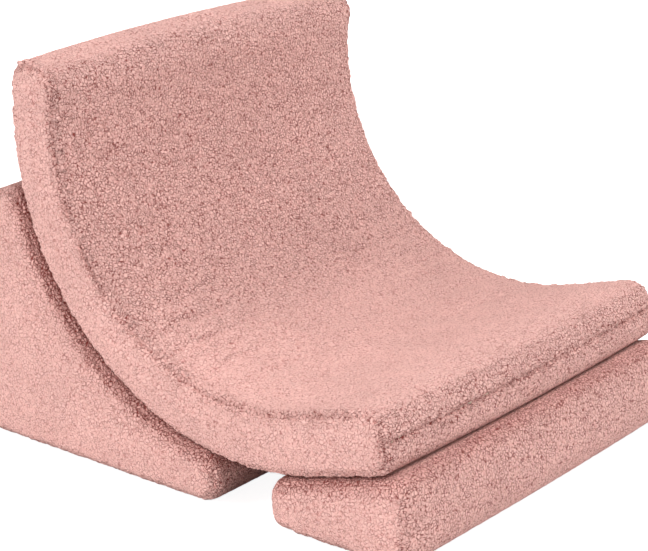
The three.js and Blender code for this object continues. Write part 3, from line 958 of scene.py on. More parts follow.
@dataclass(frozen=True)
class PilePattern:
    """The pattern of curled nubs, which the mesh and the finish share."""

    tuft: float = 5.2
    tuft_fall: float = 1.4
    nub: float = 3.7
    warp_size: float = 3.4
    warp_reach: float = 3.6
    crevice: float = 0.13
    crevice_breaks: tuple[float, float] = (0.38, 0.6)
    crevice_least: float = 0.2
    shoulder: float = 0.34
    stroke_size: float = 4.6
    stroke_width: float = 0.05
    stroke_breaks: tuple[float, float] = (0.56, 0.4)
    break_size: float = 5.0

    def spot(self, tree: NodeTree, place: Signal) -> Signal:
        """Adds nodes that shake a place, so that the nubs have no straight borders.

        Args:
            tree: the tree to add to.
            place: the place on the cloth, in metres.

        Returns:
            The shaken place.
        """
        warp = tree.noise(place, self.warp_size, 1.0, output=1)
        centred = warp.vector("SUBTRACT", _1=(0.5, 0.5, 0.5))
        return place.vector("ADD", _1=centred.scaled(self.warp_reach * MM))

    def tufts(self, tree: NodeTree, place: Signal) -> Signal:
        """Adds nodes for rounded tufts of pile, from about 0 between them to 1 on them."""
        away = tree.cells(self.spot(tree, place), self.tuft)
        return 1 - away * away * self.tuft_fall

    def inset(self, tree: NodeTree, place: Signal) -> Signal:
        """Adds nodes for the distance from a curl's border, as a share of its width."""
        return tree.cells(self.spot(tree, place), self.nub, "DISTANCE_TO_EDGE")

    def gaps(self, tree: NodeTree, place: Signal, edge: Signal) -> Signal:
        """Adds nodes for the short bent crevices between curls.

        Args:
            tree: the tree to add to.
            place: the place on the cloth, in metres.
            edge: the distance from inset().

        Returns:
            The gaps, from 0 on curls to 1 in crevices.
        """
        depth = self.breaks(tree, place, self.crevice_breaks) * (1 - self.crevice_least) + self.crevice_least
        wide = (1 - edge.ramp(0.0, self.crevice)) * depth
        winding = tree.noise(place, self.stroke_size, 1.0)
        strokes = 1 - (winding - 0.5).math("ABSOLUTE").ramp(0.0, self.stroke_width)
        return wide.math("MAXIMUM", strokes * self.breaks(tree, place, self.stroke_breaks))

    def breaks(self, tree: NodeTree, place: Signal, limits: tuple[float, float]) -> Signal:
        """Adds patches that break the crevices up, 0 below the first limit and 1 above the second."""
        return tree.noise(place, self.break_size, 1.0).ramp(*limits)


class PieceTree:
    """A geometry node tree that dresses a piece, with named inputs."""

    def __init__(self, name: str, inputs: dict[str, str]) -> None:
        """Starts the tree.

        Args:
            name: its name.
            inputs: the kind of each input after the geometry, by its name.
        """
        self.group = bpy.data.node_groups.new(name, "GeometryNodeTree")
        face = self.group.interface
        for label, kind in {"Geometry": "Geometry", **inputs}.items():
            face.new_socket(label, in_out="INPUT", socket_type=f"NodeSocket{kind}")
        face.new_socket("Geometry", in_out="OUTPUT", socket_type="NodeSocketGeometry")
        self.tree = NodeTree(self.group)
        self.inputs = self.tree.node("NodeGroupInput").outputs

    def close(self, geometry: bpy.types.NodeSocket, material: bpy.types.NodeSocket) -> None:
        """Ends the tree: its instances become real and get their material.

        Args:
            geometry: the last node's geometry.
            material: the material input.
        """
        real = self.tree.node("GeometryNodeRealizeInstances", Geometry=geometry)
        dressed = self.tree.node("GeometryNodeSetMaterial", Geometry=real.outputs[0], Material=material)
        self.tree.node("NodeGroupOutput", Geometry=dressed.outputs[0])

    def apply(self, piece: bpy.types.Object, values: dict[str, Any]) -> None:
        """Dresses a piece.

        Args:
            piece: the piece.
            values: the inputs' values by their names.
        """
        modifier = piece.modifiers.new(self.group.name, "NODES")
        modifier.node_group = self.group
        sockets = [item for item in self.group.interface.items_tree if item.in_out == "INPUT"]
        for socket in sockets:
            if socket.name in values:
                modifier[socket.identifier] = values[socket.name]
        bake_modifiers(piece)


class Pile:
    """Geometry nodes that raise the nubs of the pile on a cushion's cloth."""

    depth = 0.6

    def __init__(self, pattern: PilePattern, cloth: bpy.types.Material) -> None:
        """Builds the tree, with the pile's depth in metres and the material as named inputs.

        Args:
            pattern: the pattern of the nubs.
            cloth: the material of the cloth.
        """
        self.cloth = cloth
        self.nodes = PieceTree("Teddy pile", {"Pile Depth": "Float", "Cloth": "Material"})
        tree = self.nodes.tree
        place = tree.signal("GeometryNodeInputPosition")
        height = pattern.tufts(tree, place)
        share = tree.signal("GeometryNodeInputNamedAttribute", {"data_type": "FLOAT"}, Name="pile_share")
        kept = tree.node(
            "GeometryNodeStoreNamedAttribute", {"data_type": "FLOAT_VECTOR", "domain": "POINT"},
            Geometry=self.nodes.inputs["Geometry"], Name="cloth_place", Value=place,
        )
        sink = (height - 1.0) * share * Signal(tree, self.nodes.inputs["Pile Depth"])
        offset = tree.signal("GeometryNodeInputNormal").scaled(sink)
        raised = tree.node("GeometryNodeSetPosition", Geometry=kept.outputs[0], Offset=offset)
        self.nodes.close(raised.outputs[0], self.nodes.inputs["Cloth"])

    def raise_on(self, piece: bpy.types.Object) -> None:
        """Raises the pile on a piece with a pile_share attribute."""
        self.nodes.apply(piece, {"Pile Depth": self.depth * MM, "Cloth": self.cloth})


class Stitches:
    """Geometry nodes that lay a row of short stitches along each edge of a mesh."""

    sizes = {"Pitch": 3.6, "Stitch Length": 2.6, "Thread Width": 0.6}
    sway = 5 * DEGREE
    seed = 11

    def __init__(self, thread: bpy.types.Material) -> None:
        """Builds the tree, with its sizes in metres, the sway, the seed and the material as named inputs.

        Args:
            thread: the material of the thread.
        """
        self.thread = thread
        kinds = {**dict.fromkeys(self.sizes, "Float"), "Sway": "Float", "Seed": "Int", "Thread": "Material"}
        self.nodes = PieceTree("Zip stitches", kinds)
        tree, inputs = self.nodes.tree, self.nodes.inputs
        path = tree.node("GeometryNodeMeshToCurve", Mesh=inputs["Geometry"])
        spots = tree.node(
            "GeometryNodeCurveToPoints", {"mode": "LENGTH"}, Curve=path.outputs[0], Length=inputs["Pitch"],
        )
        bead = tree.node("GeometryNodeMeshUVSphere", Segments=8, Rings=6, Radius=0.5)
        turn = tree.signal("ShaderNodeCombineXYZ", X=0.0, Y=inputs["Sway"], Z=inputs["Sway"])
        random = tree.signal(
            "FunctionNodeRandomValue", {"data_type": "FLOAT_VECTOR"},
            _0=turn.scaled(-1.0), _1=turn, Seed=inputs["Seed"],
        )
        width = inputs["Thread Width"]
        size = tree.signal("ShaderNodeCombineXYZ", X=inputs["Stitch Length"], Y=width, Z=width)
        row = tree.node(
            "GeometryNodeInstanceOnPoints",
            Points=spots.outputs[0], Instance=bead.outputs[0], Rotation=random, Scale=size,
        )
        self.nodes.close(row.outputs[0], inputs["Thread"])

    def lay_on(self, piece: bpy.types.Object) -> None:
        """Lays the stitches along a piece's edges, which they replace."""
        sizes = {name: size * MM for name, size in self.sizes.items()}
        self.nodes.apply(piece, {**sizes, "Sway": self.sway, "Seed": self.seed, "Thread": self.thread})


# Finishes


def linear(red: int, green: int, blue: int) -> Colour:
    """Turns a screen colour into a shader colour.

    Args:
        red: red from 0 to 255.
        green: green from 0 to 255.
        blue: blue from 0 to 255.

    Returns:
        The colour, which covers fully.
    """
    parts = [value / 255 for value in (red, green, blue)]
    bent = [part / 12.92 if part <= 0.04045 else ((part + 0.055) / 1.055) ** 2.4 for part in parts]
    return (bent[0], bent[1], bent[2], 1.0)


class Finish:
    """Starts and ends a node material."""

    @staticmethod
    def start(name: str) -> tuple[bpy.types.Material, NodeTree]:
        """Makes an empty material.

        Args:
            name: its name.

        Returns:
            The material and its tree.
        """
        material = bpy.data.materials.new(name)
        material.use_nodes = True
        material.node_tree.nodes.clear()
        return material, NodeTree(material.node_tree)

    @staticmethod
    def close(tree: NodeTree, shader: bpy.types.Node) -> None:
        """Links a shader to the material's output."""
        tree.node("ShaderNodeOutputMaterial", Surface=shader.outputs[0])

    def principled(self, tree: NodeTree, **sockets: Any) -> None:
        """Ends a material with a Principled shader."""
        self.close(tree, tree.node("ShaderNodeBsdfPrincipled", **sockets))


@dataclass(frozen=True)
class TeddyFleece(Finish):
    """Dusty pink fleece with small curled nubs, and painted shade in the dark gaps between them and in the
    seams.
    """

    pattern: PilePattern
    tip: Colour = linear(231, 183, 175)
    middle: Colour = linear(222, 166, 158)
    # The darkest stop is painted shade in the crevices between the curls.
    root: Colour = linear(132, 60, 55)
    stops: tuple[float, float, float] = (0.05, 0.6, 1.0)
    nub_tone: float = 0.1
    seam_tone: float = 0.25
    wear: float = 0.06
    wear_size: float = 60.0
    fluff_size: float = 1.6
    nub_relief: float = 0.45
    gap_relief: float = 0.5
    fluff_relief: float = 0.12
    flat_relief: float = 0.4
    bump: float = 1.7
    sheen: Colour = linear(250, 220, 210)

    def build(self) -> bpy.types.Material:
        """Builds the material.

        Returns:
            The material.
        """
        material, tree = self.start("teddy_fleece")
        place = tree.attribute("cloth_place", output=1)
        edge = self.pattern.inset(tree, place)
        nubs = edge.ramp(0.0, self.pattern.shoulder)
        # This attribute sets both the depth of the relief and the painted shade in the crevices.
        rough = tree.attribute("pile_rough")
        # Painted shade in the seam grooves and where the seat leans on the cushion darkens the pile.
        seam = tree.attribute("seam_share") * self.seam_tone
        gaps = (self.pattern.gaps(tree, place, edge) * rough + seam).math("MINIMUM", 1.0)
        # The ramp runs from the painted shade in the crevices up to the lighter middles of the curls.
        shade_to_tip = nubs * self.nub_tone + (1 - gaps) * (1 - self.nub_tone)
        stops = list(zip(self.stops, (self.root, self.middle, self.tip)))
        pile = tree.signal("ShaderNodeValToRGB", {"stops": stops}, Fac=shade_to_tip)
        patches = tree.noise(place, self.wear_size, 3.0).ramp(0.3, 0.7)
        tinted = pile.scaled(patches * self.wear + (1 - self.wear / 2))
        fluff = tree.noise(place, self.fluff_size, 1.0) * self.fluff_relief
        heaps = nubs * self.nub_relief + (1 - gaps) * self.gap_relief + fluff
        relief = heaps * (rough * (1 - self.flat_relief) + self.flat_relief)
        self.principled(
            tree, Base_Color=tinted, Roughness=0.95, Normal=tree.bump(1.0, self.bump, relief),
            Specular_IOR_Level=0.1, Sheen_Weight=0.25, Sheen_Roughness=0.5, Sheen_Tint=self.sheen,
        )
        return material


@dataclass(frozen=True)
class CutFoam(Finish):
    """Cream foam with open pores, inside the covers."""

    colour: Colour = linear(239, 230, 210)
    pore: Colour = linear(196, 182, 150)
    pore_size: float = 1.4
    pore_depth: float = 0.4
    pore_edge: float = 0.45

    def build(self) -> bpy.types.Material:
        """Builds the material.

        Returns:
            The material.
        """
        material, tree = self.start("cut_foam")
        cells = tree.cells(tree.object_place(), self.pore_size)
        stops = [(0.0, self.pore), (self.pore_edge, self.colour)]
        colour = tree.signal("ShaderNodeValToRGB", {"stops": stops}, Fac=cells)
        bump = tree.bump(0.6, self.pore_depth, cells)
        self.principled(tree, Base_Color=colour, Roughness=0.9, Normal=bump, Specular_IOR_Level=0.2)
        return material


@dataclass(frozen=True)
class ZipTape(Finish):
    """Woven tape with a row of moulded teeth, dyed to match the fleece."""

    name: str
    place: Zip
    teeth_from: float = -3.1
    teeth_to: float = -2.95
    tape: Colour = linear(206, 142, 134)
    gap: Colour = linear(168, 104, 97)
    tooth: Colour = linear(222, 158, 149)
    thread: float = 0.7

    def build(self) -> bpy.types.Material:
        """Builds the material.

        Returns:
            The material.
        """
        material, tree = self.start(self.name)
        along, y, z = tree.axes(tree.object_place())
        if self.place.facing is Facing.DOWN:
            level, across = self.place.z * MM - z, y
        else:
            level, across = y - self.place.y * MM, z
        teeth = level.ramp(self.teeth_from * MM, self.teeth_to * MM)
        turns = 2 * math.pi / (self.thread * MM)
        ribs = ((along * turns).math("SINE") * (across * turns).math("SINE")) * 0.5 + 0.5
        colour = tree.mix(teeth, tree.mix(ribs, self.gap, self.tape), self.tooth)
        bump = tree.bump(0.7, 0.2, ribs * (1 - teeth))
        self.principled(tree, Base_Color=colour, Roughness=0.85 - teeth * 0.45, Normal=bump)
        return material


@dataclass(frozen=True)
class Thread(Finish):
    """Twisted sewing thread of the zip's stitches."""

    light: Colour = linear(226, 170, 162)
    shade: Colour = linear(186, 124, 116)
    twist: float = 0.5

    def build(self) -> bpy.types.Material:
        """Builds the material.

        Returns:
            The material.
        """
        material, tree = self.start("zip_thread")
        x, y, z = tree.axes(tree.object_place())
        strands = ((x + y + z) * (2 * math.pi / (self.twist * MM))).math("SINE") * 0.5 + 0.5
        colour = tree.mix(strands, self.shade, self.light)
        self.principled(tree, Base_Color=colour, Roughness=0.8, Normal=tree.bump(0.5, 0.1, strands))
        return material


@dataclass(frozen=True)
class SliderMetal(Finish):
    """Plated metal of the sliders, pulls and end stops, with fine scratches."""

    bright: Colour = linear(200, 197, 194)
    dull: Colour = linear(164, 160, 156)
    cloud_size: float = 2.5
    scratch_scale: Point = (120.0, 3200.0, 3200.0)

    def build(self) -> bpy.types.Material:
        """Builds the material.

        Returns:
            The material.
        """
        material, tree = self.start("zip_metal")
        spot = tree.object_place()
        clouds = tree.noise(spot, self.cloud_size, 4.0)
        stretched = tree.signal("ShaderNodeMapping", Vector=spot, Scale=self.scratch_scale)
        scratches = tree.signal("ShaderNodeTexNoise", Vector=stretched, Scale=1.0, Detail=2.0)
        self.principled(
            tree, Base_Color=tree.mix(clouds, self.dull, self.bright), Metallic=1.0,
            Roughness=clouds * 0.2 + scratches * 0.15 + 0.2, Normal=tree.bump(0.3, 0.05, scratches),
        )
        return material


# Cushions


@dataclass(frozen=True)
class Sewing:
    """How the cloth gathers at a cover's seams."""

    depth: float = 3.6
    half: float = 1.9
    pull: float = 0.7
    pull_sway: float = 0.5
    sway_number: int = 20
    long_pull: tuple[float, float] = (9.0, 0.8)
    short_pull: tuple[float, float] = (4.0, 0.7)
    lip: float = 4.2
    lip_outside: float = 0.4
    lip_offset: float = 6.0
    lip_half: float = 4.2
    side_margin: float = 0.5
    bead_wave: float = 3.5
    bead_least: float = 0.3
    bead_rise: float = 2.4
    pucker: float = 2.2
    pucker_reach: float = 8.0
    lump: float = 1.35
    lump_size: float = 4.2
    lump_least: float = 0.03
    clumping: float = 1.1
    bunch_reach: float = 8.0
    tuft_growth: float = 1.1
    rough_reach: float = 10.0


LOOSE_SEWING = Sewing()
FLAT_SEWING = Sewing(depth=1.8, lip=0.5, pucker=1.2, lump=0.6, tuft_growth=0.6)


@dataclass(frozen=True)
class PileTone:
    """How deep the crevices of the pile are on the stretches of a cover, and how much shade is painted into
    them and into the seams.
    """

    usual: float = 0.9
    beside_seam: float = 0.05
    upright: float = 0.2
    pressed: float = -0.15
    side: float = -0.15
    contact: float = 0.2
    groove_shade: float = 0.3
    contact_shade: float = 1.3
    most_shade: float = 1.5
    upright_turn: tuple[float, float] = (0.3, 0.8)
    pressed_turn: tuple[float, float] = (0.8, 0.99)
    side_turn: tuple[float, float] = (0.8, 0.98)

    def rough(self, normals: np.ndarray, beside_seam: np.ndarray, contact: np.ndarray) -> np.ndarray:
        """Gives how deep the crevices are at each point, and with that how much shade is painted into them:
        more on faces turned to the front and near another cushion, less on faces turned up or to the sides.

        Args:
            normals: the normals at the points.
            beside_seam: how near a seam each point is, from 0 to 1.
            contact: how near another cushion each point is, from 0 to 1.

        Returns:
            A factor for each point.
        """
        # Faces turned up or to the sides get lighter crevices and faces turned to the front darker ones:
        # painted light and shade, along with shallower or deeper relief.
        pressed = smooth_step(*self.pressed_turn, normals[:, 2])
        side = smooth_step(*self.side_turn, np.abs(normals[:, 0]))
        upright = smooth_step(*self.upright_turn, -normals[:, 1])
        loose = self.usual + self.beside_seam * beside_seam + self.upright * upright
        return loose + self.pressed * pressed + self.side * side + self.contact * contact

    def shade(self, groove: np.ndarray, contact: np.ndarray) -> np.ndarray:
        """Gives the painted shade at each point, from how deep it lies in a seam and how near another
        cushion.
        """
        return np.clip(self.groove_shade * groove + self.contact_shade * contact, 0, self.most_shade)


CLOTH_SETTINGS = {
    "quality": 5,
    "mass": 0.3,
    "tension_stiffness": 12,
    "compression_stiffness": 12,
    "shear_stiffness": 5,
    "bending_stiffness": 0.6,
    "use_pressure": True,
    "uniform_pressure_force": 4.0,
}


@dataclass
class Cushion:
    """One cushion: its padded fleece cover over the foam, and its zip."""

    form: CushionForm
    panels: tuple[str, ...]
    sewing: Sewing
    tone: PileTone = PileTone()
    voxel: float = 3.6
    cloth_voxel: float = 7.0
    cloth_cap: float = 5.0
    pin_reach: float = 5.0
    inward_cap: float = 0.3
    frames: int = 20
    neighbours: int = 4
    side_depth: float = 0.4
    stitch_level: float = -3.05
    stitch_across: float = 7.4
    stitch_run: float = 140.0
    seed: float = 0.0
    cover: bpy.types.Object | None = field(default=None, init=False)

    @property
    def name(self) -> str:
        """The cushion's name."""
        return self.form.name

    def build(self, layout: ChairLayout, pile: Pile) -> None:
        """Makes the cover, sews it and raises its pile.

        Args:
            layout: the sizes that the cushions share.
            pile: the pile and its cloth.
        """
        self.cover = self.blank("cover", self.voxel)
        self.inflate()
        subdivide(self.cover, 1)
        self.swell_sides()
        self.sew(layout)
        pile.raise_on(self.cover)
        for polygon in self.cover.data.polygons:
            polygon.use_smooth = True
        log.info("%s cover: %d faces", self.name, len(self.cover.data.polygons))

    def blank(self, ending: str, voxel: float) -> bpy.types.Object:
        """Makes the plain form as an even mesh.

        Args:
            ending: the end of its name.
            voxel: edge of a voxel in millimetres.

        Returns:
            The object.
        """
        made = new_object(f"{self.name}_{ending}", *self.form.surface())
        voxel_remesh(made, voxel)
        return made

    def inflate(self) -> None:
        """Blows up a coarse copy of the cover between its pinned seams and moves the cover with it."""
        balloon = self.blank("balloon", self.cloth_voxel)
        rest = coordinates(balloon.data)
        normals = point_normals(balloon.data)
        self.blow_up(balloon, rest)
        moved = coordinates(balloon.data) - rest
        bpy.data.objects.remove(balloon)
        inward = np.maximum(-(moved * normals).sum(1) - self.inward_cap * MM, 0)
        moved += normals * inward[:, None]
        length = np.linalg.norm(moved, axis=1)
        log.info("%s cloth moved %.1f mm at most", self.name, length.max() / MM)
        moved *= (np.minimum(length, self.cloth_cap * MM) / np.maximum(length, 1e-9))[:, None]
        tree = tree_of(rest)
        cover = coordinates(self.cover.data)
        for row, point in enumerate(cover):
            hits = tree.find_n(point, self.neighbours)
            weights = np.array([1 / (hit[2] + 1e-4) for hit in hits])
            cover[row] += weights @ moved[[hit[1] for hit in hits]] / weights.sum()
        set_coordinates(self.cover.data, cover)

    def blow_up(self, balloon: bpy.types.Object, rest: np.ndarray) -> None:
        """Runs the cloth simulation on a coarse copy and keeps its last shape.

        Args:
            balloon: the copy.
            rest: its points in metres.
        """
        seams = np.concatenate([seam.points for seam in self.form.seams()]) * MM
        _, distance = nearest(tree_of(seams), rest)
        pins = balloon.vertex_groups.new(name="seams")
        pins.add([int(index) for index in np.flatnonzero(distance < self.pin_reach * MM)], 1.0, "REPLACE")
        modifier = balloon.modifiers.new("Swelling cover", "CLOTH")
        for name, value in CLOTH_SETTINGS.items():
            setattr(modifier.settings, name, value)
        modifier.settings.effector_weights.gravity = 0
        modifier.settings.vertex_group_mass = pins.name
        modifier.point_cache.frame_start = 1
        modifier.point_cache.frame_end = self.frames
        for step in range(1, self.frames + 1):
            bpy.context.scene.frame_set(step)
        bake_modifiers(balloon)
        bpy.context.scene.frame_set(1)

    def swell_sides(self) -> None:
        """Crowns the flat sides."""
        form = self.form
        mesh = self.cover.data
        points = coordinates(mesh)
        on_side = np.abs(points[:, 0]) > (form.width / 2 - self.side_depth) * MM
        _, distance = nearest(tree_of(form.side_rings() * MM), points[on_side])
        share = smooth_step(0, form.side_crown_reach * MM, distance)
        points[on_side, 0] += np.sign(points[on_side, 0]) * share * form.side_crown * MM
        set_coordinates(mesh, points)

    def sew(self, layout: ChairLayout) -> None:
        """Draws the cloth in at the seams, gathers it there and lowers it behind the zip.

        Args:
            layout: the sizes that the cushions share.
        """
        mesh = self.cover.data
        sewing = self.sewing
        points = coordinates(mesh) / MM
        normals = point_normals(mesh)
        groove, gathers, lips, bunch, beside_seam = np.zeros((5, len(points)))
        for number, seam in enumerate(self.form.seams()):
            line = seam.points
            margin = 3 * sewing.rough_reach
            near = np.flatnonzero(((points > line.min(0) - margin) & (points < line.max(0) + margin)).all(1))
            index, distance = nearest(tree_of(line), points[near])
            pulls = self.gather_pulls(len(line), number) * seam.depth
            sway = sewing.pull_sway * self.gather_pulls(len(line), number + sewing.sway_number)
            drawn = (sewing.pull + sway) * seam.depth
            shown = seam.shown()
            beads = (self.beads(len(line), number) * shown)[index] * seam.lip
            ridge = bell(distance - sewing.lip_offset, sewing.lip_half) * beads
            outside = np.abs(points[near, 0]) > np.abs(line[index, 0]) + sewing.side_margin
            ridge[outside] *= sewing.lip_outside
            gathered = seam.bunch * shown[index] * bell(distance, sewing.bunch_reach)
            gathers[near] += pulls[index] * bell(distance, sewing.pucker_reach)
            groove[near] = np.maximum(groove[near], bell(distance, sewing.half) * drawn[index])
            lips[near] = np.maximum(lips[near], ridge)
            bunch[near] = np.maximum(bunch[near], gathered)
            beside_seam[near] = np.maximum(beside_seam[near], bell(distance, sewing.rough_reach))
        zip_place = self.form.zip
        sunk = zip_place.share(points)
        lumps = self.lumps(points, bunch)
        tufts = 1 + sewing.clumping * lumps / sewing.lump
        raised = sewing.lip * lips * tufts + sewing.pucker * gathers * (1 - groove) + lumps
        move = raised - sewing.depth * groove
        sewn = layout.clear(self.name, points + normals * move[:, None])
        sewn -= zip_place.outward * ((zip_place.level(sewn) + zip_place.depth) * sunk)[:, None]
        set_coordinates(mesh, sewn * MM)
        contact = layout.contact(self.name, points)
        write_attribute(mesh, "pile_share", (1 + sewing.tuft_growth * bunch) * (1 - sunk))
        # Painted shade: the crevices get darker on faces turned to the front and near the seat, lighter on
        # faces turned up or sideways.
        write_attribute(mesh, "pile_rough", self.tone.rough(normals, beside_seam, contact))
        # Painted shade in the seam grooves and along the rims where the seat leans on the cushion.
        write_attribute(mesh, "seam_share", self.tone.shade(groove, contact) * (1 - sunk))

    def lumps(self, points: np.ndarray, share: np.ndarray) -> np.ndarray:
        """Gives the height of the thick bunched pile beside the seams.

        Args:
            points: points in millimetres.
            share: how much of it there is at each point, from 0 to 1.

        Returns:
            The height at each point in millimetres.
        """
        heights = np.zeros(len(points))
        for row in np.flatnonzero(share > self.sewing.lump_least):
            heights[row] = noise.noise(Vector(points[row] / self.sewing.lump_size)) * share[row]
        return heights * self.sewing.lump

    def waves(self, count: int, length: float, offset: float, layer: float) -> np.ndarray:
        """Gives smooth noise along a seam.

        Args:
            count: points of the seam.
            length: how many points a wave takes.
            offset: sets the seams apart.
            layer: sets the uses of the noise apart.

        Returns:
            A value from about -1 to 1 for each point.
        """
        places = [Vector((step / length, self.seed + offset, layer)) for step in range(count)]
        return np.array([noise.noise(place) for place in places])

    def beads(self, count: int, number: int) -> np.ndarray:
        """Gives the height of the beads of pile in a row beside a seam.

        Args:
            count: points of the seam.
            number: the seam's number.

        Returns:
            A share up to 1 for each point.
        """
        sewing = self.sewing
        waves = np.abs(self.waves(count, sewing.bead_wave, 3.1 * number, 9.0))
        return sewing.bead_least + (1 - sewing.bead_least) * np.minimum(1, sewing.bead_rise * waves)

    def gather_pulls(self, count: int, number: int) -> np.ndarray:
        """Gives how far the cloth is drawn in along a seam.

        Args:
            count: points of the seam.
            number: the seam's number.

        Returns:
            A value from about -1 to 1 for each point.
        """
        long, most = self.sewing.long_pull
        short, least = self.sewing.short_pull
        offset = 7.3 * number
        return self.waves(count, long, offset, 0.0) * most + self.waves(count, short, offset, 5.0) * least

    def stitch_zip(self, stitches: Stitches) -> None:
        """Sews the zip's tapes down with a row of stitches along each of them.

        Args:
            stitches: the stitches and their thread.
        """
        place = self.form.zip
        outward = np.array(place.facing.value)
        middle = np.array([place.y, place.z]) + outward * self.stitch_level
        points = []
        for row in (-1, 1):
            y, z = middle + outward[::-1] * row * self.stitch_across
            points += [(-self.stitch_run, y, z), (self.stitch_run, y, z)]
        rows = new_object(f"{self.name}_zip_stitches", points, [], [(0, 1), (2, 3)])
        stitches.lay_on(rows)
        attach(rows, self.name)

    def dress(self, foam: bpy.types.Material, tape: bpy.types.Material, metal: bpy.types.Material,
              frame: dict[str, Any]) -> None:
        """Puts the cover on its body and gives the kept CAD nodes their finishes.

        Args:
            foam: material of the foam core.
            tape: material of the zip's tapes and teeth.
            metal: material of the slider, pull and end stop.
            frame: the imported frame.
        """
        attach(self.cover, self.name)
        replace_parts(self.cover, *[f"{self.name}_{panel}" for panel in self.panels])
        for node, piece in frame["nodes"].items():
            if not node.startswith(self.name) or node in self.cover["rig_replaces"]:
                continue
            finishes = {"foam_core": foam, "tape": tape}
            finish = next((made for ending, made in finishes.items() if node.endswith(ending)), metal)
            piece.data.materials.clear()
            piece.data.materials.append(finish)


# Studio


@dataclass(frozen=True)
class SoftSun:
    """A far soft light of the studio."""

    name: str
    towards: tuple[float, float, float]
    strength: float
    colour: tuple[float, float, float] = (1.0, 1.0, 1.0)


SOFT_SUNS = (
    SoftSun("left_back", (-0.6, 0.6, 0.6), 2.1),
    SoftSun("left", (-1.0, 0.0, 0.15), 0.65),
    SoftSun("overhead", (0.0, -0.45, 1.0), 2.0, (0.97, 1.0, 1.0)),
    SoftSun("front", (0.0, -0.8, 0.6), 0.85, (1.0, 0.93, 0.92)),
    SoftSun("right", (0.7, -0.3, 0.55), 0.65),
)


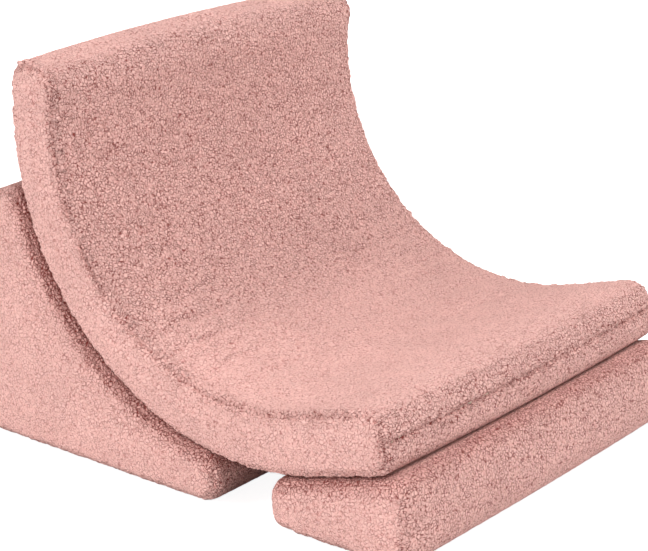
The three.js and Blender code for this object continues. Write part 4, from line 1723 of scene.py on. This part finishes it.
@dataclass
class Studio:
    """The floor, the soft lights, the white surroundings and the camera."""

    camera_place: tuple[float, float, float] = (-1722.75, -1364.42, 930.65)
    camera_azimuth: float = -51.49
    camera_elevation: float = 19.01
    focal_pixels: float = 2144.25
    sensor: float = 36.0
    view_depth: float = 50.0
    surround: float = 0.07
    sun_angle: float = 40.0
    lamp_place: tuple[float, float, float] = (0.0, -200.0, 1300.0)
    lamp_size: float = 800.0
    lamp_energy: float = 1.0
    floor_half: float = 9000.0
    floor_glow: float = 0.8
    floor_seen: float = 0.92
    shade_half: tuple[float, float] = (245.0, 285.0)
    shade_fade: float = 12.0

    def build(self) -> None:
        """Builds everything that isn't the chair."""
        self.add_floor()
        self.add_world()
        for sun in SOFT_SUNS:
            self.add_sun(sun)
        self.add_lamp()
        self.add_camera()

    @staticmethod
    def place(name: str, data: bpy.types.ID, towards: Vector | None = None) -> bpy.types.Object:
        """Puts a lamp or a camera in the scene.

        Args:
            name: its name.
            data: its settings.
            towards: the way its back looks, or None for straight up.

        Returns:
            The object.
        """
        made = bpy.data.objects.new(name, data)
        if towards is not None:
            made.rotation_euler = towards.to_track_quat("Z", "Y").to_euler()
        bpy.context.scene.collection.objects.link(made)
        return made

    @staticmethod
    def seen(tree: NodeTree) -> Signal:
        """Adds nodes that give 1 where the background itself is seen, also in metal.

        Args:
            tree: the tree to add to.

        Returns:
            The share.
        """
        path = tree.node("ShaderNodeLightPath")
        rays = [Signal(tree, path.outputs[f"Is {kind} Ray"]) for kind in ("Camera", "Glossy", "Transmission")]
        return rays[0].math("MAXIMUM", rays[1]).math("MAXIMUM", rays[2])

    def add_floor(self) -> None:
        """Adds the white floor, which keeps the chair's soft shadow, and whose glow is painted bounce light
        beside the chair.
        """
        half = self.floor_half
        corners = [(-half, -half, 0), (half, -half, 0), (half, half, 0), (-half, half, 0)]
        floor = new_object("studio_floor", corners, [[0, 1, 2, 3]])
        material, tree = Finish.start("studio_white")
        seen = self.seen(tree)
        # The floor glows on the chair as painted bounce light, cut out under the chair as a painted shadow.
        glow = self.clear_of_chair(tree) * self.floor_glow
        strength = seen * self.floor_seen + (1 - seen) * glow
        diffuse = tree.node("ShaderNodeBsdfDiffuse", Color=(0.5, 0.5, 0.5, 1.0))
        shine = tree.node("ShaderNodeEmission", Color=(1.0, 1.0, 1.0, 1.0), Strength=strength)
        both = tree.node("ShaderNodeAddShader", _0=diffuse.outputs[0], _1=shine.outputs[0])
        Finish.close(tree, both)
        floor.data.materials.append(material)

    def clear_of_chair(self, tree: NodeTree) -> Signal:
        """Adds nodes for the painted shadow in the floor's glow: 1 on the open floor and 0 under the chair.

        Args:
            tree: the tree to add to.

        Returns:
            The share.
        """
        x, y, _ = tree.axes(tree.object_place())
        across = x.math("ABSOLUTE") - self.shade_half[0] * MM
        along = y.math("ABSOLUTE") - self.shade_half[1] * MM
        return across.math("MAXIMUM", along).ramp(0.0, self.shade_fade * MM)

    def add_world(self) -> None:
        """Adds even light from all round, white where the camera sees it."""
        world = bpy.data.worlds.new("studio_light")
        world.use_nodes = True
        world.node_tree.nodes.clear()
        tree = NodeTree(world.node_tree)
        strength = self.seen(tree) * (1 - self.surround) + self.surround
        light = tree.node("ShaderNodeBackground", Color=(1.0, 1.0, 1.0, 1.0), Strength=strength)
        tree.node("ShaderNodeOutputWorld", Surface=light.outputs[0])
        bpy.context.scene.world = world

    def add_sun(self, sun: SoftSun) -> None:
        """Adds a far soft light.

        Args:
            sun: its direction, strength and colour.
        """
        lamp = bpy.data.lights.new(sun.name, "SUN")
        lamp.energy = sun.strength
        lamp.color = sun.colour
        lamp.angle = self.sun_angle * DEGREE
        self.place(sun.name, lamp, Vector(sun.towards))

    def add_lamp(self) -> None:
        """Adds the square lamp over the seat."""
        lamp = bpy.data.lights.new("over_seat", "AREA")
        lamp.size = self.lamp_size * MM
        lamp.energy = self.lamp_energy
        self.place("over_seat", lamp).location = Vector(self.lamp_place) * MM

    def add_camera(self) -> None:
        """Adds the camera at the photograph's place and angle."""
        lens = bpy.data.cameras.new("photo_camera")
        lens.sensor_width = self.sensor
        lens.sensor_fit = "HORIZONTAL"
        lens.lens = self.focal_pixels * self.sensor / PHOTO_WIDTH
        lens.clip_end = self.view_depth
        azimuth = self.camera_azimuth * DEGREE
        elevation = self.camera_elevation * DEGREE
        back = Vector((
            math.sin(azimuth) * math.cos(elevation),
            -math.cos(azimuth) * math.cos(elevation),
            math.sin(elevation),
        ))
        camera = self.place("photo_camera", lens, back)
        camera.location = Vector(self.camera_place) * MM
        bpy.context.scene.camera = camera


PANELS = {
    "seat": ("face_panel", "under_panel_front", "under_panel_rear", "side_panel_left", "side_panel_right"),
    "wedge": (
        "base_panel", "back_panel_lower", "back_panel_upper", "face_panel",
        "side_panel_left", "side_panel_right",
    ),
    "block": ("base_panel", "top_panel", "side_panel_left", "side_panel_right"),
}


def main() -> None:
    """Builds the chair and the studio."""
    logging.basicConfig(level=logging.INFO, format="%(name)s: %(message)s")
    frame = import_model()
    bpy.context.scene.view_settings.view_transform = "Standard"
    Studio().build()

    layout = ChairLayout()
    pattern = PilePattern()
    pile = Pile(pattern, TeddyFleece(pattern).build())
    stitches = Stitches(Thread().build())
    foam = CutFoam().build()
    metal = SliderMetal().build()
    for seed, form in enumerate((layout.seat(), layout.wedge(), layout.block())):
        sewing = LOOSE_SEWING if form.name == "seat" else FLAT_SEWING
        cushion = Cushion(form, PANELS[form.name], sewing, seed=SEED_STEP * seed)
        cushion.build(layout, pile)
        tape = ZipTape(f"{form.name}_zip_tape", form.zip).build()
        cushion.dress(foam, tape, metal, frame)
        cushion.stitch_zip(stitches)
        log.info("dressed the %s", form.name)
    bpy.context.view_layer.update()


if __name__ == "__main__":
    main()
